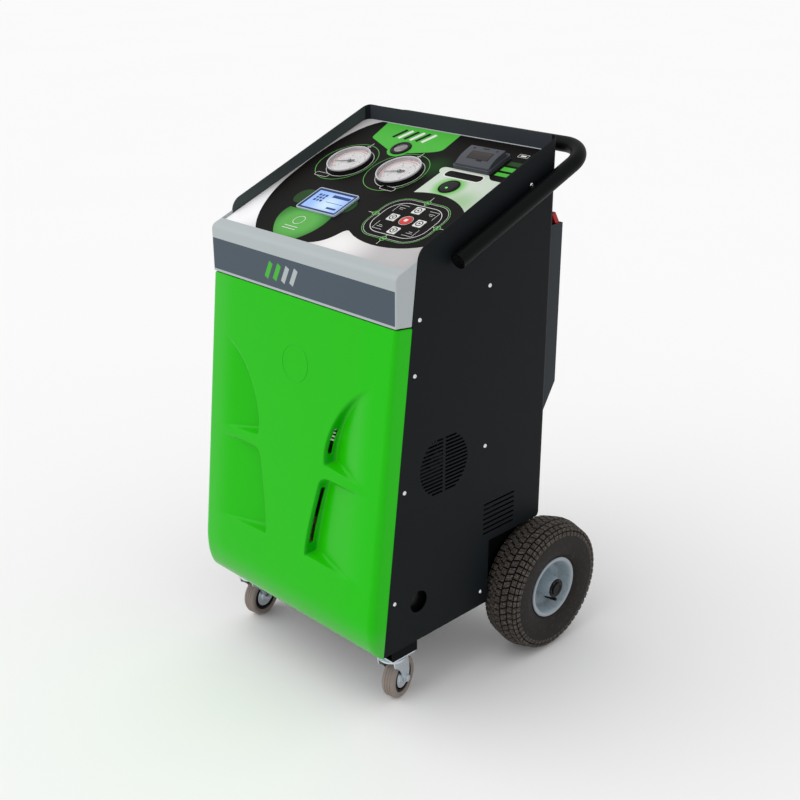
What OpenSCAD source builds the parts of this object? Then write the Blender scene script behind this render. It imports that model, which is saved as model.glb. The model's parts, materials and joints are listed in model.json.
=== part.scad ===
// Refrigerant recovery machine on wheels, an air-conditioning service station.
// Millimetres, +Z up, the front faces -Y and +X is to the right seen from the front.
// The origin lies on the floor under the middle of the overall box.

/* [Cabinet] */
// Width over the outer faces of the side panels
body_w = 473; // [440:1:520]
// Depth of the side panels from the front foot to the rear face
body_d = 418; // [400:1:450]
// Height of the side panels' lower edge above the floor
base_z = 132; // [128:1:140]
// Height of the rear top edge above the floor
rear_h = 981; // [960:1:1010]
// Thickness of the cabinet's sheet metal
sheet_t = 1.5; // [1:0.1:2]
// Backward lean of the front edge from upright, in degrees
front_lean = 6.5; // [5:0.1:8]
// Slope of the side panels' top edge, in degrees
top_slope = 22; // [21:0.1:23]
// Rounding of the side panels' front top corner
nose_r = 28; // [18:1:34]
// Outer radius of the bend at the rear upright corners
bend_r = 12; // [6:0.5:16]
// Width of the flange that each side panel folds over the rear
flange_w = 16; // [12:1:20]

/* [Vents and openings of the side panels] */
// Diameter of the round fan grille
grille_d = 118; // [100:1:124]
// Distance from one grille slot to the next
slot_pitch = 7; // [6:0.1:9]
// Height of each grille slot
slot_h = 3.6; // [2.5:0.1:4.5]
// Depth position of the fan grille's centre
fan_y = 146; // [140:1:155]
// Height of the fan grille's centre
fan_z = 456; // [440:1:470]
// Length of the slots in the square louvre
louvre_w = 84; // [60:1:90]
// Number of slots in the square louvre
louvre_n = 7; // [4:1:8]
// Diameter of the hole that shows the pump's oil window
oil_hole_d = 41; // [30:1:46]

/* [Front mouldings] */
// How far the front mouldings stand ahead of the side panels
front_proud = 35.8; // [32:0.1:40]
// Wall of the moulded front pieces
mould_t = 3; // [2.5:0.1:4]
// Rounding of the cover's upright edges
cover_r = 11; // [8:0.5:18]
// Height over which the cover's chin curves back
chin_h = 88; // [60:1:110]
// Depth of the recesses at their inner walls
recess_depth = 24; // [16:1:28]
// Diameter of the ring mark on the cover
ring_d = 67; // [50:1:80]
// Gap between the cover and the fascia above it
split_gap = 2; // [1:0.1:3]
// Height of the fascia along its face, up to the control panel's plane
fascia_h = 101.5; // [96:0.5:106]
// How far the fascia leans out ahead of the cover
fascia_bulge = 9; // [6:0.1:11]
// Rounding of the fascia's upper lip
lip_r = 12; // [8:0.5:14]
// Rise of the fascia's lip over the control panel
lip_rise = 5.5; // [3:0.1:7]
// Height of the dark band on the fascia
band_h = 57; // [45:1:60]
// Thickness of the dark band
band_t = 1.5; // [1:0.1:2]

/* [Control panel] */
// Slope of the control panel, in degrees
panel_slope = 21.4; // [20.8:0.1:22]
// Depth of the control panel below the rear top edge
rim_depth = 25; // [20:1:32]
// How far the panel runs ahead of the side panels, along its slope
panel_nose = 25; // [22:0.5:28]
// Thickness of the panel's sheet
panel_t = 2; // [1.5:0.1:3]
// Thickness of the printed overlay
overlay_t = 0.8; // [0.5:0.1:1]
// Sideways place of the gauge and display group
group_x = -68; // [-75:1:-62]
// Distance between the two gauges
gauge_pitch = 130; // [112:1:134]
// Place of the gauges up the slope, as a share of the panel's length
gauge_at = 0.589; // [0.57:0.001:0.6]
// Outer diameter of the gauge cases
gauge_d = 86; // [76:1:90]
// Height of the gauge cases over the panel
gauge_h = 10; // [8:0.5:14]
// Place of the display up the slope, as a share of the panel's length
display_at = 0.25; // [0.235:0.001:0.265]
// Width of the display's frame
display_w = 103; // [92:1:110]
// Depth of the display's frame along the slope
display_l = 67; // [60:1:74]
// Height of the display's frame over the panel
display_h = 4; // [2.5:0.5:6]
// Place of the sight glass up the slope, as a share of the panel's length
sight_at = 0.789; // [0.77:0.001:0.8]
// Outer diameter of the sight glass
sight_d = 42; // [34:1:46]
// Sideways place of the keypad and print button
keys_x = 123; // [116:1:130]
// Place of the keypad up the slope, as a share of the panel's length
keys_at = 0.261; // [0.245:0.001:0.275]
// Distance from the keypad's middle to each arrow key
key_pitch = 31; // [27:0.5:34]
// Side of each arrow key
key_w = 19; // [15:0.5:22]
// Diameter of the round stop key
stop_d = 23; // [18:0.5:26]
// Height of the keys over the overlay
key_rise = 1; // [0.9:0.1:2]
// Travel of the keys and the print button
key_travel = 0.8; // [0.5:0.1:0.8]
// Clearance round each key and button
key_gap = 0.3; // [0.2:0.05:0.5]
// Place of the print button up the slope, as a share of the panel's length
print_at = 0.569; // [0.55:0.001:0.58]
// Diameter of the print button
print_d = 33; // [26:0.5:38]

/* [Printer] */
// Sideways place of the printer
printer_x = 128; // [120:1:134]
// Place of the printer up the slope, as a share of the panel's length
printer_at = 0.8; // [0.78:0.001:0.815]
// Width of the printer
printer_w = 85; // [76:1:92]
// Length of the printer along the slope
printer_l = 62; // [58:1:68]
// Height of the printer's frame over the panel
printer_h = 7; // [6:0.5:9]
// Rise of the curved lid over the frame
lid_rise = 10; // [7:0.5:11]
// Diameter of the paper roll
paper_d = 34; // [28:1:36]

/* [Handle] */
// Diameter of the handle tube
tube_d = 28; // [25:0.5:32]
// Wall of the handle tube
tube_wall = 2; // [1.5:0.1:3]
// Gap between the handle's arms and the side panels
handle_gap = 1; // [0.5:0.1:3]
// Reach of the grip bar behind the rear face
handle_reach = 72; // [60:1:85]
// Drop of the grip bar below the rear top edge
handle_drop = 30; // [15:1:45]
// Length of the arms from the grip bar to their ends
handle_l = 361; // [330:1:380]
// Bend radius of the handle at the tube's axis
handle_bend = 55; // [42:1:65]

/* [Rear pocket] */
// Width of the document pocket
pocket_w = 440; // [430:1:446]
// Depth of the pocket behind the cabinet
pocket_d = 44; // [36:1:50]
// Drop of the pocket's rim below the rear top edge
pocket_rim = 161; // [145:1:175]
// Height of the pocket's outer wall
pocket_h = 302; // [270:1:330]
// Drop of the pocket's slanted floor towards the cabinet
pocket_drop = 72; // [50:1:80]
// Width of the folder in the pocket
folder_w = 230; // [200:1:240]
// Thickness of the folder
folder_t = 8; // [5:0.5:12]

/* [Rear wheels] */
// Diameter of the rear tyres
tyre_d = 260; // [250:1:264]
// Width of the rear tyres
tyre_w = 78; // [74:1:84]
// Distance of the rear axle ahead of the cabinet's rear face
axle_in = 18; // [14:1:22]
// Distance from each side panel's face out to the rear wheel's middle
wheel_out = 22; // [20:0.5:28]
// Diameter of the rim's edge
rim_d = 121; // [112:1:126]
// Diameter of the axle
axle_d = 20; // [16:0.5:24]
// Radial clearance of every wheel on its axle
run_gap = 0.05; // [0.02:0.01:0.08]
// Outer diameter of the wheel hubs
hub_d = 46; // [38:1:50]

/* [Casters] */
// Diameter of the caster wheels
caster_d = 80; // [74:1:82]
// Width of the caster wheels
caster_w = 27; // [24:1:30]
// Distance from each side panel's face in to the caster's pivot
caster_in = 37; // [36:0.5:44]
// Depth position of the casters' pivots
caster_y = 56; // [50:1:60]
// Trail of the caster wheels behind their pivots
caster_trail = 22; // [18:1:26]
// Length of the caster plates, front to back
plate_l = 60; // [56:1:66]
// Width of the caster plates
plate_w = 67; // [60:1:72]
// Height of the caster plates' upper faces above the floor
plate_z = 110; // [107:1:112]
// Turn of the right caster at rest, in degrees
turn_right = 16; // [-30:1:30]
// Turn of the left caster at rest, in degrees
turn_left = 8; // [-30:1:30]

/* [Inside] */
// Diameter of the refrigerant tank
tank_d = 216; // [190:1:220]
// Height of the refrigerant tank
tank_h = 400; // [340:1:430]
// Diameter of the compressor's dome
comp_d = 160; // [140:1:166]
// Height of the compressor
comp_h = 210; // [180:1:240]
// Side of the square fan shroud
shroud_w = 144; // [136:1:148]
// Diameter of the fan
fan_d = 116; // [96:1:120]
// Diameter of the oil bottles
bottle_d = 56; // [46:1:58]

/* [Hidden] */
$fn = 64;

hw = body_w / 2;
inner_x = hw - sheet_t;
rear_in = body_d - 2 * sheet_t;
tyre_r = tyre_d / 2;
axle_y = body_d - axle_in;
wheel_x = hw + wheel_out;
caster_x = hw - caster_in;
handle_z = rear_h - handle_drop;
pocket_top = rear_h - pocket_rim;
pocket_low = pocket_top - pocket_h;
pocket_in = pocket_low - pocket_drop;
big = 2000;
eps = 0.01;

// Overall depth, used to centre the part on its origin
y_front = chin_h * sin(front_lean) - norm([front_proud * cos(front_lean), chin_h * sin(front_lean)]);
y_rear = axle_y + tyre_r;
y_mid = (y_front + y_rear) / 2;

// The control panel's plane crosses the side panels' front edges at this point
panel_back_z = rear_h - rim_depth;
panel_z0 = (panel_back_z - tan(panel_slope) * (body_d + tan(front_lean) * base_z))
    / (1 - tan(panel_slope) * tan(front_lean));
panel_y0 = tan(front_lean) * (panel_z0 - base_z);
panel_under = -overlay_t - panel_t;
panel_v1 = (rear_in - panel_y0 + panel_under * sin(panel_slope)) / cos(panel_slope);

// The same crossing measured along the leaning front face
panel_s0 = (panel_z0 - base_z) / cos(front_lean);
lip_angle = panel_slope + front_lean;
fascia_s = panel_s0 - fascia_h;
cover_h = fascia_s - split_gap;

// Places on the control panel
gauge_xs = [group_x - gauge_pitch / 2, group_x + gauge_pitch / 2];
gauge_v = gauge_at * panel_v1;
display_v = display_at * panel_v1;
sight_v = sight_at * panel_v1;
keys_v = keys_at * panel_v1;
print_v = print_at * panel_v1;
printer_v = printer_at * panel_v1;

// Round-cornered rectangle made of plain circles and squares
module round_rect(w, l, r) {
    square([w - 2 * r, l], center = true);
    square([w, l - 2 * r], center = true);
    for (sx = [-1, 1], sy = [-1, 1])
        translate([sx * (w / 2 - r), sy * (l / 2 - r)]) circle(r);
}

// Frame of the control panel: x across, y up the slope, z out of the overlay
module on_panel(x = 0, v = 0, h = 0) {
    translate([0, panel_y0, panel_z0]) rotate([panel_slope, 0, 0]) translate([x, v, h]) children();
}

// Frame of the leaning front: x across, y into the cabinet, z up the face
module on_front() {
    translate([0, 0, base_z]) rotate([-front_lean, 0, 0]) children();
}

// Lays a drawing of depth and height upright and gives it a width along X
module across_x(w) {
    rotate([90, 0, 90]) translate([0, 0, -w / 2]) linear_extrude(w) children();
}

// Places the part so that its origin is under the middle of its box
module placed() {
    translate([0, -y_mid, 0]) children();
}

// Point on a cubic curve
function bez(p, t) = pow(1 - t, 3) * p[0] + 3 * t * pow(1 - t, 2) * p[1]
    + 3 * t * t * (1 - t) * p[2] + pow(t, 3) * p[3];
function curve(p, n) = [for (i = [0:n]) bez(p, i / n)];
function arc(c, r, a0, a1, n) = [for (i = [0:n]) let (a = a0 + (a1 - a0) * i / n)
    [c[0] + r * cos(a), c[1] + r * sin(a)]];

// Side panel outline in depth and height, with the wheel cut-out at its rear foot
notch_gap = 1.5;
notch_z = tyre_d + notch_gap;
notch_y = axle_y - tyre_r - notch_gap;
notch_cut = 9;
nose_z = (rear_h - tan(top_slope) * (body_d + tan(front_lean) * base_z))
    / (1 - tan(top_slope) * tan(front_lean));
nose_y = tan(front_lean) * (nose_z - base_z);
nose_turn = 90 - front_lean - top_slope;
nose_len = nose_r * tan(nose_turn / 2);
nose_c = [nose_y - nose_len * sin(front_lean) + nose_r * cos(front_lean),
    nose_z - nose_len * cos(front_lean) - nose_r * sin(front_lean)];
side_outline = concat(
    [[0, base_z]],
    arc(nose_c, nose_r, 180 - front_lean, 90 + top_slope, 10),
    [[body_d, rear_h], [body_d, notch_z + notch_cut], [body_d - 1.5 * notch_cut, notch_z],
     [notch_y, notch_z], [notch_y, base_z]]);

// Holes of a side panel: fan grille, louvre, oil window and screws
grille_n = floor((grille_d / 2 - slot_h) / slot_pitch);
rib_w = 6;
louvre_y = 294;
louvre_z = 309;
oil_y = 86;
oil_z = 210;
screw_d = 5;
screw_head_d = 8;
screw_head_t = 2;
screw_l = sheet_t + 2 * screw_head_t;
screw_inset = 16;
front_screw_s = [chin_h + 12, cover_h / 2 + 10, cover_h - 82, fascia_s + 10];
mid_screws = [[body_d - 67, rear_h - 75], [body_d - 166, rear_h - 229], [body_d - 167, fan_z + 1],
    [notch_y - 19, base_z + 29]];
function front_screw(s) = [s * sin(front_lean) + screw_inset * cos(front_lean),
    base_z + s * cos(front_lean) - screw_inset * sin(front_lean)];
side_screws = concat([for (s = front_screw_s) front_screw(s)], mid_screws);

module side_holes() {
    for (i = [-grille_n:grille_n]) {
        half = sqrt(pow(grille_d / 2, 2) - pow(abs(i) * slot_pitch + slot_h / 2, 2));
        for (s = [-1, 1])
            translate([fan_y + s * (half + rib_w / 2) / 2, fan_z + i * slot_pitch])
                square([half - rib_w / 2, slot_h], center = true);
    }
    for (i = [0:louvre_n - 1])
        translate([louvre_y, louvre_z + (i - (louvre_n - 1) / 2) * 1.4 * slot_pitch])
            square([louvre_w, slot_h], center = true);
    translate([oil_y, oil_z]) circle(d = oil_hole_d);
    for (p = side_screws) translate(p) circle(d = screw_d);
}

// Plan of a side panel: flat sheet with a rounded bend and a flange over the rear
module side_plan() {
    difference() {
        bent_block(0);
        bent_block(sheet_t);
    }
}

// Plan of a block that fills the panel's bend, drawn in by the given inset
module bent_block(inset) {
    r = bend_r - inset;
    difference() {
        translate([hw - bend_r - flange_w - inset, -inset]) square([bend_r + flange_w, body_d]);
        translate([hw - bend_r, body_d - bend_r]) difference() {
            square(r + 1);
            circle(r);
        }
    }
}

module side_panel() {
    color([0.12, 0.13, 0.14]) difference() {
        intersection() {
            linear_extrude(big) side_plan();
            translate([hw - 2 * flange_w, 0, 0]) rotate([90, 0, 90])
                linear_extrude(2 * flange_w + 1) polygon(side_outline);
        }
        translate([hw - 2 * sheet_t, 0, 0]) rotate([90, 0, 90])
            linear_extrude(3 * sheet_t) side_holes();
    }
}

module side_panel_right() { side_panel(); }
module side_panel_left() { mirror([1, 0, 0]) side_panel(); }

// Screws of both side panels, each with a pan head on the outer face
module panel_screws() {
    color("silver") for (m = [0, 1]) mirror([m, 0, 0]) for (p = side_screws)
        translate([hw, p[0], p[1]]) rotate([0, 90, 0]) {
            translate([0, 0, -screw_l]) cylinder(d = screw_d - 0.4, h = screw_l);
            cylinder(d1 = screw_head_d, d2 = 0.6 * screw_head_d, h = screw_head_t);
        }
}

// Rear panel between the side panels' flanges, with vents and connections
well_t = 2;
well_x = hw - 26.5;
rear_half = hw - bend_r;
conn_z = pocket_in - 86;
inlet_x = -70;
switch_x = -135;
port_x = [80, 130];
port_hole_d = 18;
inlet_w = 28;
inlet_l = 24;
switch_w = 22;
switch_l = 30;
vent_n = 5;
vent_w = 120;

module rear_panel() {
    color([0.12, 0.13, 0.14]) translate([0, rear_in, 0]) rotate([90, 0, 0]) mirror([0, 0, 1])
        linear_extrude(sheet_t) difference() {
            union() {
                translate([-rear_half, notch_z + notch_cut])
                    square([2 * rear_half, rear_h - notch_z - notch_cut]);
                translate([-well_x + well_t, base_z]) square([2 * (well_x - well_t), notch_z]);
            }
            translate([inlet_x, conn_z]) square([inlet_w, inlet_l], center = true);
            translate([switch_x, conn_z]) square([switch_w, switch_l], center = true);
            for (x = port_x) translate([x, conn_z]) circle(d = port_hole_d);
            for (i = [0:vent_n - 1], s = [-1, 1])
                translate([s * vent_w * 0.6, pocket_top + 30 + i * 2 * slot_pitch])
                    square([vent_w, slot_h], center = true);
        }
}

// Chassis: deck, side flanges, caster channels and wheel wells that carry the axle
deck_t = 3;
deck_z = base_z + deck_t;
deck_flange = 26;
deck_y0 = 10;
channel_t = 3;

module caster_channel() {
    translate([caster_x, caster_y, plate_z]) difference() {
        translate([-plate_w / 2, -plate_l / 2, 0]) cube([plate_w, plate_l, base_z - plate_z + eps]);
        translate([-plate_w / 2 + channel_t, -plate_l / 2 - 1, channel_t])
            cube([plate_w - 2 * channel_t, plate_l + 2, base_z - plate_z - channel_t]);
        caster_bolts(-1, channel_t + 2);
    }
}

module caster_bolts(z, h) {
    for (sx = [-1, 1], sy = [-1, 1])
        translate([sx * (plate_w / 2 - 11), sy * (plate_l / 2 - 10), z]) cylinder(d = bolt_hole_d, h = h);
}

module wheel_well() {
    difference() {
        union() {
            translate([well_x - well_t, notch_y - well_t, plate_z])
                cube([well_t, rear_in - notch_y + well_t, notch_z + well_t - plate_z]);
            translate([well_x - well_t, notch_y - well_t, notch_z])
                cube([inner_x - well_x + well_t, rear_in - notch_y + well_t - bend_r, well_t]);
            translate([well_x - well_t, notch_y - well_t, base_z])
                cube([inner_x - well_x + well_t, well_t, notch_z - base_z + well_t]);
            translate([well_x - 3 * well_t, axle_y, tyre_r]) rotate([0, 90, 0])
                cylinder(d = axle_d + 8, h = 3 * well_t);
        }
        translate([0, axle_y, tyre_r]) rotate([0, 90, 0]) cylinder(d = axle_d, h = hw);
    }
}

module chassis_base() {
    color([0.14, 0.14, 0.15]) {
        translate([-inner_x, deck_y0, base_z]) cube([2 * inner_x, notch_y - well_t - deck_y0 + eps, deck_t]);
        translate([-well_x + eps, notch_y - well_t, base_z])
            cube([2 * well_x - 2 * eps, axle_y - axle_d - notch_y, deck_t]);
        for (m = [0, 1]) mirror([m, 0, 0]) {
            translate([inner_x - deck_t, deck_y0, base_z])
                cube([deck_t, notch_y - well_t - deck_y0 + eps, deck_flange]);
            caster_channel();
            wheel_well();
        }
    }
}

// Rear axle and the push-on caps over its ends
hub_out = 36;
axle_half = wheel_x + hub_out + 2;
cap_d = 37;
cap_t = 3;
boss_r = 13;

module axle() {
    color("gray") translate([-axle_half, axle_y, tyre_r]) rotate([0, 90, 0])
        cylinder(d = axle_d, h = 2 * axle_half);
}

module axle_caps() {
    color([0.1, 0.1, 0.1]) for (m = [0, 1]) mirror([m, 0, 0])
        translate([wheel_x + hub_out + float_gap, axle_y, tyre_r]) rotate([0, 90, 0]) difference() {
            rotate_extrude() polygon([[0, 0], [cap_d / 2, 0], [cap_d / 2, cap_t], [boss_r, cap_t],
                [boss_r, 2 * cap_t], [boss_r - 4, 2 * cap_t], [boss_r - 5, 1.6 * cap_t], [0, 1.6 * cap_t]]);
            translate([0, 0, -1]) cylinder(d = axle_d, h = axle_half - wheel_x - hub_out - float_gap + 1);
            for (a = [0:60:300]) rotate(a)
                translate([(cap_d / 2 + boss_r) / 2, 0, 1]) cylinder(d = 3, h = cap_t);
        }
}

// Rear wheel rim: two bead flanges, dished barrel, disc, flared hub and air valve
bead_x = 30;
bead_r = rim_d / 2 - 7;
barrel_r = bead_r - 7;
rim_t = 3;
disc_x = 4;
hub_flare = 5;
valve_r = 36;
valve_turn = 20;
valve_d = 8;

module rim() {
    rotate([0, 90, 0]) {
        rotate_extrude() {
            polygon([[barrel_r, -14], [barrel_r, 14], [bead_r, 20], [bead_r, bead_x - rim_t],
                [rim_d / 2, bead_x - 1], [rim_d / 2, bead_x + rim_t - 2], [bead_r - 1, bead_x + 1],
                [bead_r - rim_t, bead_x - 2], [barrel_r - rim_t, disc_x + rim_t],
                [barrel_r - rim_t, -15], [bead_r - rim_t, -21], [bead_r - rim_t, -bead_x + 2],
                [bead_r - 1, -bead_x - 1], [rim_d / 2, -bead_x - rim_t + 2], [rim_d / 2, -bead_x + 1],
                [bead_r, -bead_x + rim_t], [bead_r, -20]]);
            translate([hub_d / 2 - eps, disc_x - rim_t / 2])
                square([barrel_r - rim_t - hub_d / 2 + 2 * eps, rim_t]);
            polygon([[axle_d / 2 + run_gap, -wheel_in], [hub_d / 2, -wheel_in], [hub_d / 2, disc_x],
                [hub_d / 2 + hub_flare, disc_x], [cap_d / 2 + 0.5, hub_out], [axle_d / 2 + run_gap, hub_out]]);
        }
        rotate(valve_turn) translate([valve_r, 0, disc_x]) {
            cylinder(d = valve_d, h = bead_x - disc_x - 8);
            cylinder(d = valve_d - 2, h = bead_x - disc_x);
        }
    }
}

// Inner end of the hub, close to the wheel well's boss
wheel_in = wheel_x - well_x - 0.4;

module rim_right() { color([0.5, 0.56, 0.62]) translate([wheel_x, axle_y, tyre_r]) rim(); }
module rim_left() { mirror([1, 0, 0]) rim_right(); }

// Tyre: open carcass on the bead seats, with rows of lugs cut into its tread
tyre_wall = 7;
seat_gap = 0.3;
lug_n = 58;
lug_gap = 3.2;
groove_t = 3.5;
slot_t = 3.2;
row_x = [5.5, 8.5, 19.5, 22.5];
row_lap = 2;
row_skew = 22;
edge_r = tyre_r - 8;
edge_x = tyre_w / 2 - 4;
wall_r = tyre_r - 24;
slot_top = tyre_r + 2;

// Radius of the tread over its width: level in the middle, then falling to its edges
function tread_r(x) = tyre_r - max(0, abs(x) - row_x[0]) / (edge_x - row_x[0]) * (tyre_r - edge_r);
function ring_groove(a, b) = [[tread_r(b), b], [tread_r(b) - groove_t, b],
    [tread_r(a) - groove_t, a], [tread_r(a), a]];
function both_sides(half) = concat(half, [for (i = [len(half) - 1:-1:0]) [half[i][0], -half[i][1]]]);

tyre_half = concat(
    [[bead_r + 0.05, bead_x - rim_t - seat_gap], [rim_d / 2, bead_x - 1 - seat_gap]],
    curve([[rim_d / 2 + 2, bead_x - 1], [rim_d / 2 + 7, bead_x + 6], [rim_d / 2 + 14, tyre_w / 2],
        [wall_r, tyre_w / 2]], 5),
    [[edge_r, edge_x]], ring_groove(row_x[2], row_x[3]), ring_groove(row_x[0], row_x[1]));
air_half = [[0, 20], [bead_r + tyre_wall, 21], [rim_d / 2 + 14, tyre_w / 2 - tyre_wall],
    [wall_r, tyre_w / 2 - tyre_wall - 4], [tyre_r - 13, tyre_w / 2 - 20]];

// Outlines of the cross slots over radius and width, for a middle row and for a shoulder
function row_slot(a, b) = [[slot_top, a], [tread_r(a) - slot_t, a], [tread_r(b) - slot_t, b], [slot_top, b]];
function shoulder_slot(a) = [[slot_top, a], [tread_r(a) - slot_t, a],
    [edge_r - slot_t, edge_x - slot_t / 2], [wall_r, tyre_w / 2 + 0.3], [slot_top, tyre_w / 2 + 0.3]];

// Ring of slots with the given outline, moved on by a share of their pitch and turned about mid
module cross_slots(outline, shift, mid, skew) {
    for (i = [0:lug_n - 1]) rotate((i + shift) * 360 / lug_n)
        translate([0, 0, mid]) rotate([skew, 0, 0]) translate([0, lug_gap / 2, -mid])
            rotate([90, 0, 0]) linear_extrude(lug_gap) polygon(outline);
}

module tyre() {
    rotate([0, 90, 0]) difference() {
        rotate_extrude($fn = 96) difference() {
            polygon(both_sides(tyre_half));
            polygon(both_sides(air_half));
        }
        cross_slots(row_slot(-row_x[0] - 1, row_x[0] + 1), 0, 0, 0);
        for (m = [0, 1]) mirror([0, 0, m]) {
            cross_slots(row_slot(row_x[1] - row_lap, row_x[2] + row_lap), 0.5,
                (row_x[1] + row_x[2]) / 2, row_skew);
            cross_slots(shoulder_slot(row_x[3] - 1), 0, 0, 0);
        }
    }
}

module tyre_right() { color([0.1, 0.09, 0.08]) translate([wheel_x, axle_y, tyre_r]) tyre(); }
module tyre_left() { mirror([1, 0, 0]) tyre_right(); }

// Casters: bolted plate with a kingpin, swivel fork, hub with cover discs and soft tread
plate_t = 3;
king_d = 12;
race_d = 50;
race_h = 9;
bolt_hole_d = 8.5;
float_gap = 0.3;
crown_t = 4;
fork_t = 2.5;
fork_gap = 2;
wheel_bolt_d = 8;
crown_top = plate_z - plate_t - race_h - float_gap;
crown_low = crown_top - crown_t;

module caster_plates() {
    color([0.75, 0.78, 0.8]) for (m = [-1, 1]) translate([m * caster_x, caster_y, 0]) {
        translate([0, 0, plate_z - plate_t]) linear_extrude(plate_t) difference() {
            round_rect(plate_w, plate_l, 6);
            for (sx = [-1, 1], sy = [-1, 1])
                translate([sx * (plate_w / 2 - 11), sy * (plate_l / 2 - 10)]) circle(d = bolt_hole_d);
        }
        translate([0, 0, plate_z - plate_t - race_h])
            cylinder(d1 = race_d - 10, d2 = race_d, h = race_h + eps);
        translate([0, 0, crown_low - float_gap - 2]) cylinder(d = king_d, h = plate_z - crown_low);
        translate([0, 0, crown_low - float_gap - 2]) cylinder(d = king_d + 7, h = 2);
    }
}

leg_in = caster_w / 2 + fork_gap;

module fork_leg() {
    rotate([90, 0, 90]) linear_extrude(fork_t) difference() {
        polygon([[-22, crown_low], [24, crown_low], [caster_trail + 11, caster_d / 2 + 12],
            [caster_trail + 8, caster_d / 2 - 5], [caster_trail, caster_d / 2 - 9],
            [caster_trail - 8, caster_d / 2 - 5], [caster_trail - 13, caster_d / 2 + 12],
            [-18, crown_low - 12]]);
        translate([caster_trail, caster_d / 2]) circle(d = wheel_bolt_d);
    }
}

module fork(turn) {
    color([0.75, 0.78, 0.8]) translate([0, caster_y, 0]) rotate(turn) {
        difference() {
            translate([0, 0, crown_low]) cylinder(d = race_d + 4, h = crown_t);
            translate([0, 0, crown_low - 1]) cylinder(r = king_d / 2 + run_gap, h = crown_t + 2);
        }
        translate([leg_in, 0, eps]) fork_leg();
        translate([-leg_in - fork_t, 0, eps]) fork_leg();
        for (s = [-1, 1]) translate([s * (leg_in + fork_t / 2) - fork_t / 2, -22, crown_low])
            cube([fork_t, 46, crown_t]);
        translate([-leg_in - fork_t - 5, caster_trail, caster_d / 2]) rotate([0, 90, 0]) {
            cylinder(d = wheel_bolt_d, h = 2 * (leg_in + fork_t) + 10);
            cylinder(d = wheel_bolt_d + 6, h = 5, $fn = 6);
            translate([0, 0, 2 * (leg_in + fork_t) + 5]) cylinder(d = wheel_bolt_d + 6, h = 5, $fn = 6);
        }
    }
}

module fork_right() { translate([caster_x, 0, 0]) fork(turn_right); }
module fork_left() { translate([-caster_x, 0, 0]) fork(turn_left); }

// Places a caster wheel's revolved profile on its fork
module on_caster(x, turn) {
    translate([x, caster_y, 0]) rotate(turn) translate([0, caster_trail, caster_d / 2])
        rotate([0, 90, 0]) children();
}

tread_t = 11;
hub_r = caster_d / 2 - tread_t;
disc_r = hub_r - 8;
disc_t = 1.5;
disc_in = 3.5;

module caster_hub() {
    color([0.15, 0.15, 0.16]) rotate_extrude() {
        translate([wheel_bolt_d / 2 + run_gap, -leg_in + float_gap])
            square([8, 2 * leg_in - 2 * float_gap]);
        translate([wheel_bolt_d / 2 + run_gap, -4]) square([hub_r - wheel_bolt_d / 2 - run_gap, 8]);
        translate([hub_r - 5, -caster_w / 2 + 3]) square([5, caster_w - 6]);
        for (s = [-1, 1]) translate([wheel_bolt_d / 2 + run_gap, s * (caster_w / 2 - disc_in) - disc_t / 2])
            square([disc_r - wheel_bolt_d / 2 - run_gap, disc_t]);
    }
}

module caster_tread() {
    color([0.55, 0.51, 0.48]) rotate_extrude() polygon(concat(
        [[hub_r + 0.02, caster_w / 2 - 2], [hub_r + 0.02, -caster_w / 2 + 2]],
        arc([caster_d / 2 - 6, -caster_w / 2 + 6], 6, -90, 0, 6),
        arc([caster_d / 2 - 6, caster_w / 2 - 6], 6, 0, 90, 6)));
}

module caster_hub_right() { on_caster(caster_x, turn_right) caster_hub(); }
module caster_hub_left() { on_caster(-caster_x, turn_left) caster_hub(); }
module caster_tyre_right() { on_caster(caster_x, turn_right) caster_tread(); }
module caster_tyre_left() { on_caster(-caster_x, turn_left) caster_tread(); }

// Green front cover: a leaning shell with a curved chin, paired recesses and slots
function chin(inset) = [for (i = [0:14]) let (a = 180 + 90 * i / 14)
    [(front_proud - inset) * cos(a), chin_h + (chin_h - inset) * sin(a)]];

module front_block(inset, back, top) {
    intersection() {
        across_x(body_w - 2 * inset) polygon(concat([[back, top], [-front_proud + inset, top]], chin(inset),
            [[back, inset]]));
        linear_extrude(big) front_plan(front_proud - inset, hw - inset, back, cover_r - inset);
    }
}

// Plan of the front mouldings, square at the back and rounded at the front
module front_plan(ahead, half, back, r) {
    translate([-half, -ahead + r]) square([2 * half, ahead - r + back]);
    translate([-half + r, -ahead]) square([2 * half - 2 * r, ahead + back]);
    for (s = [-1, 1]) translate([s * (half - r), -ahead + r]) circle(r);
}

fascia_r = 3;
band_low = 4.5;

// Recess outlines across the face and up it, grown by g to leave their own walls.
// They are drawn for one height of the cover and stretch with it.
drawn_h = 592;
recess_out = 182;
upper_in = 89;
lower_in = 55;
function stretched(points) = [for (p = points) [p[0], p[1] * cover_h / drawn_h]];
function upper_recess(g) = concat(
    curve([[recess_out, 478 + g], [140 - g, 455 + g], [98 - g, 405 + g], [upper_in - g, 345]], 10),
    curve([[upper_in - g, 332], [upper_in - g, 318 - g], [upper_in + 4, 318 - g],
        [upper_in + 14, 317 - g]], 4),
    [[recess_out, 310 - g]]);
function lower_recess(g) = concat(
    [[recess_out, 295 + g]],
    curve([[104, 296 + g], [90 - g, 296 + g], [83 - g, 290 + g], [80 - g, 280]], 4),
    curve([[80 - g, 280], [68 - g, 230], [57 - g, 180], [lower_in - g, 150]], 8),
    curve([[lower_in - g, 146], [lower_in - g, 136 - g], [lower_in, 136 - g], [lower_in + 12, 136 - g]], 4),
    [[recess_out, 132 - g]]);

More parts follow.
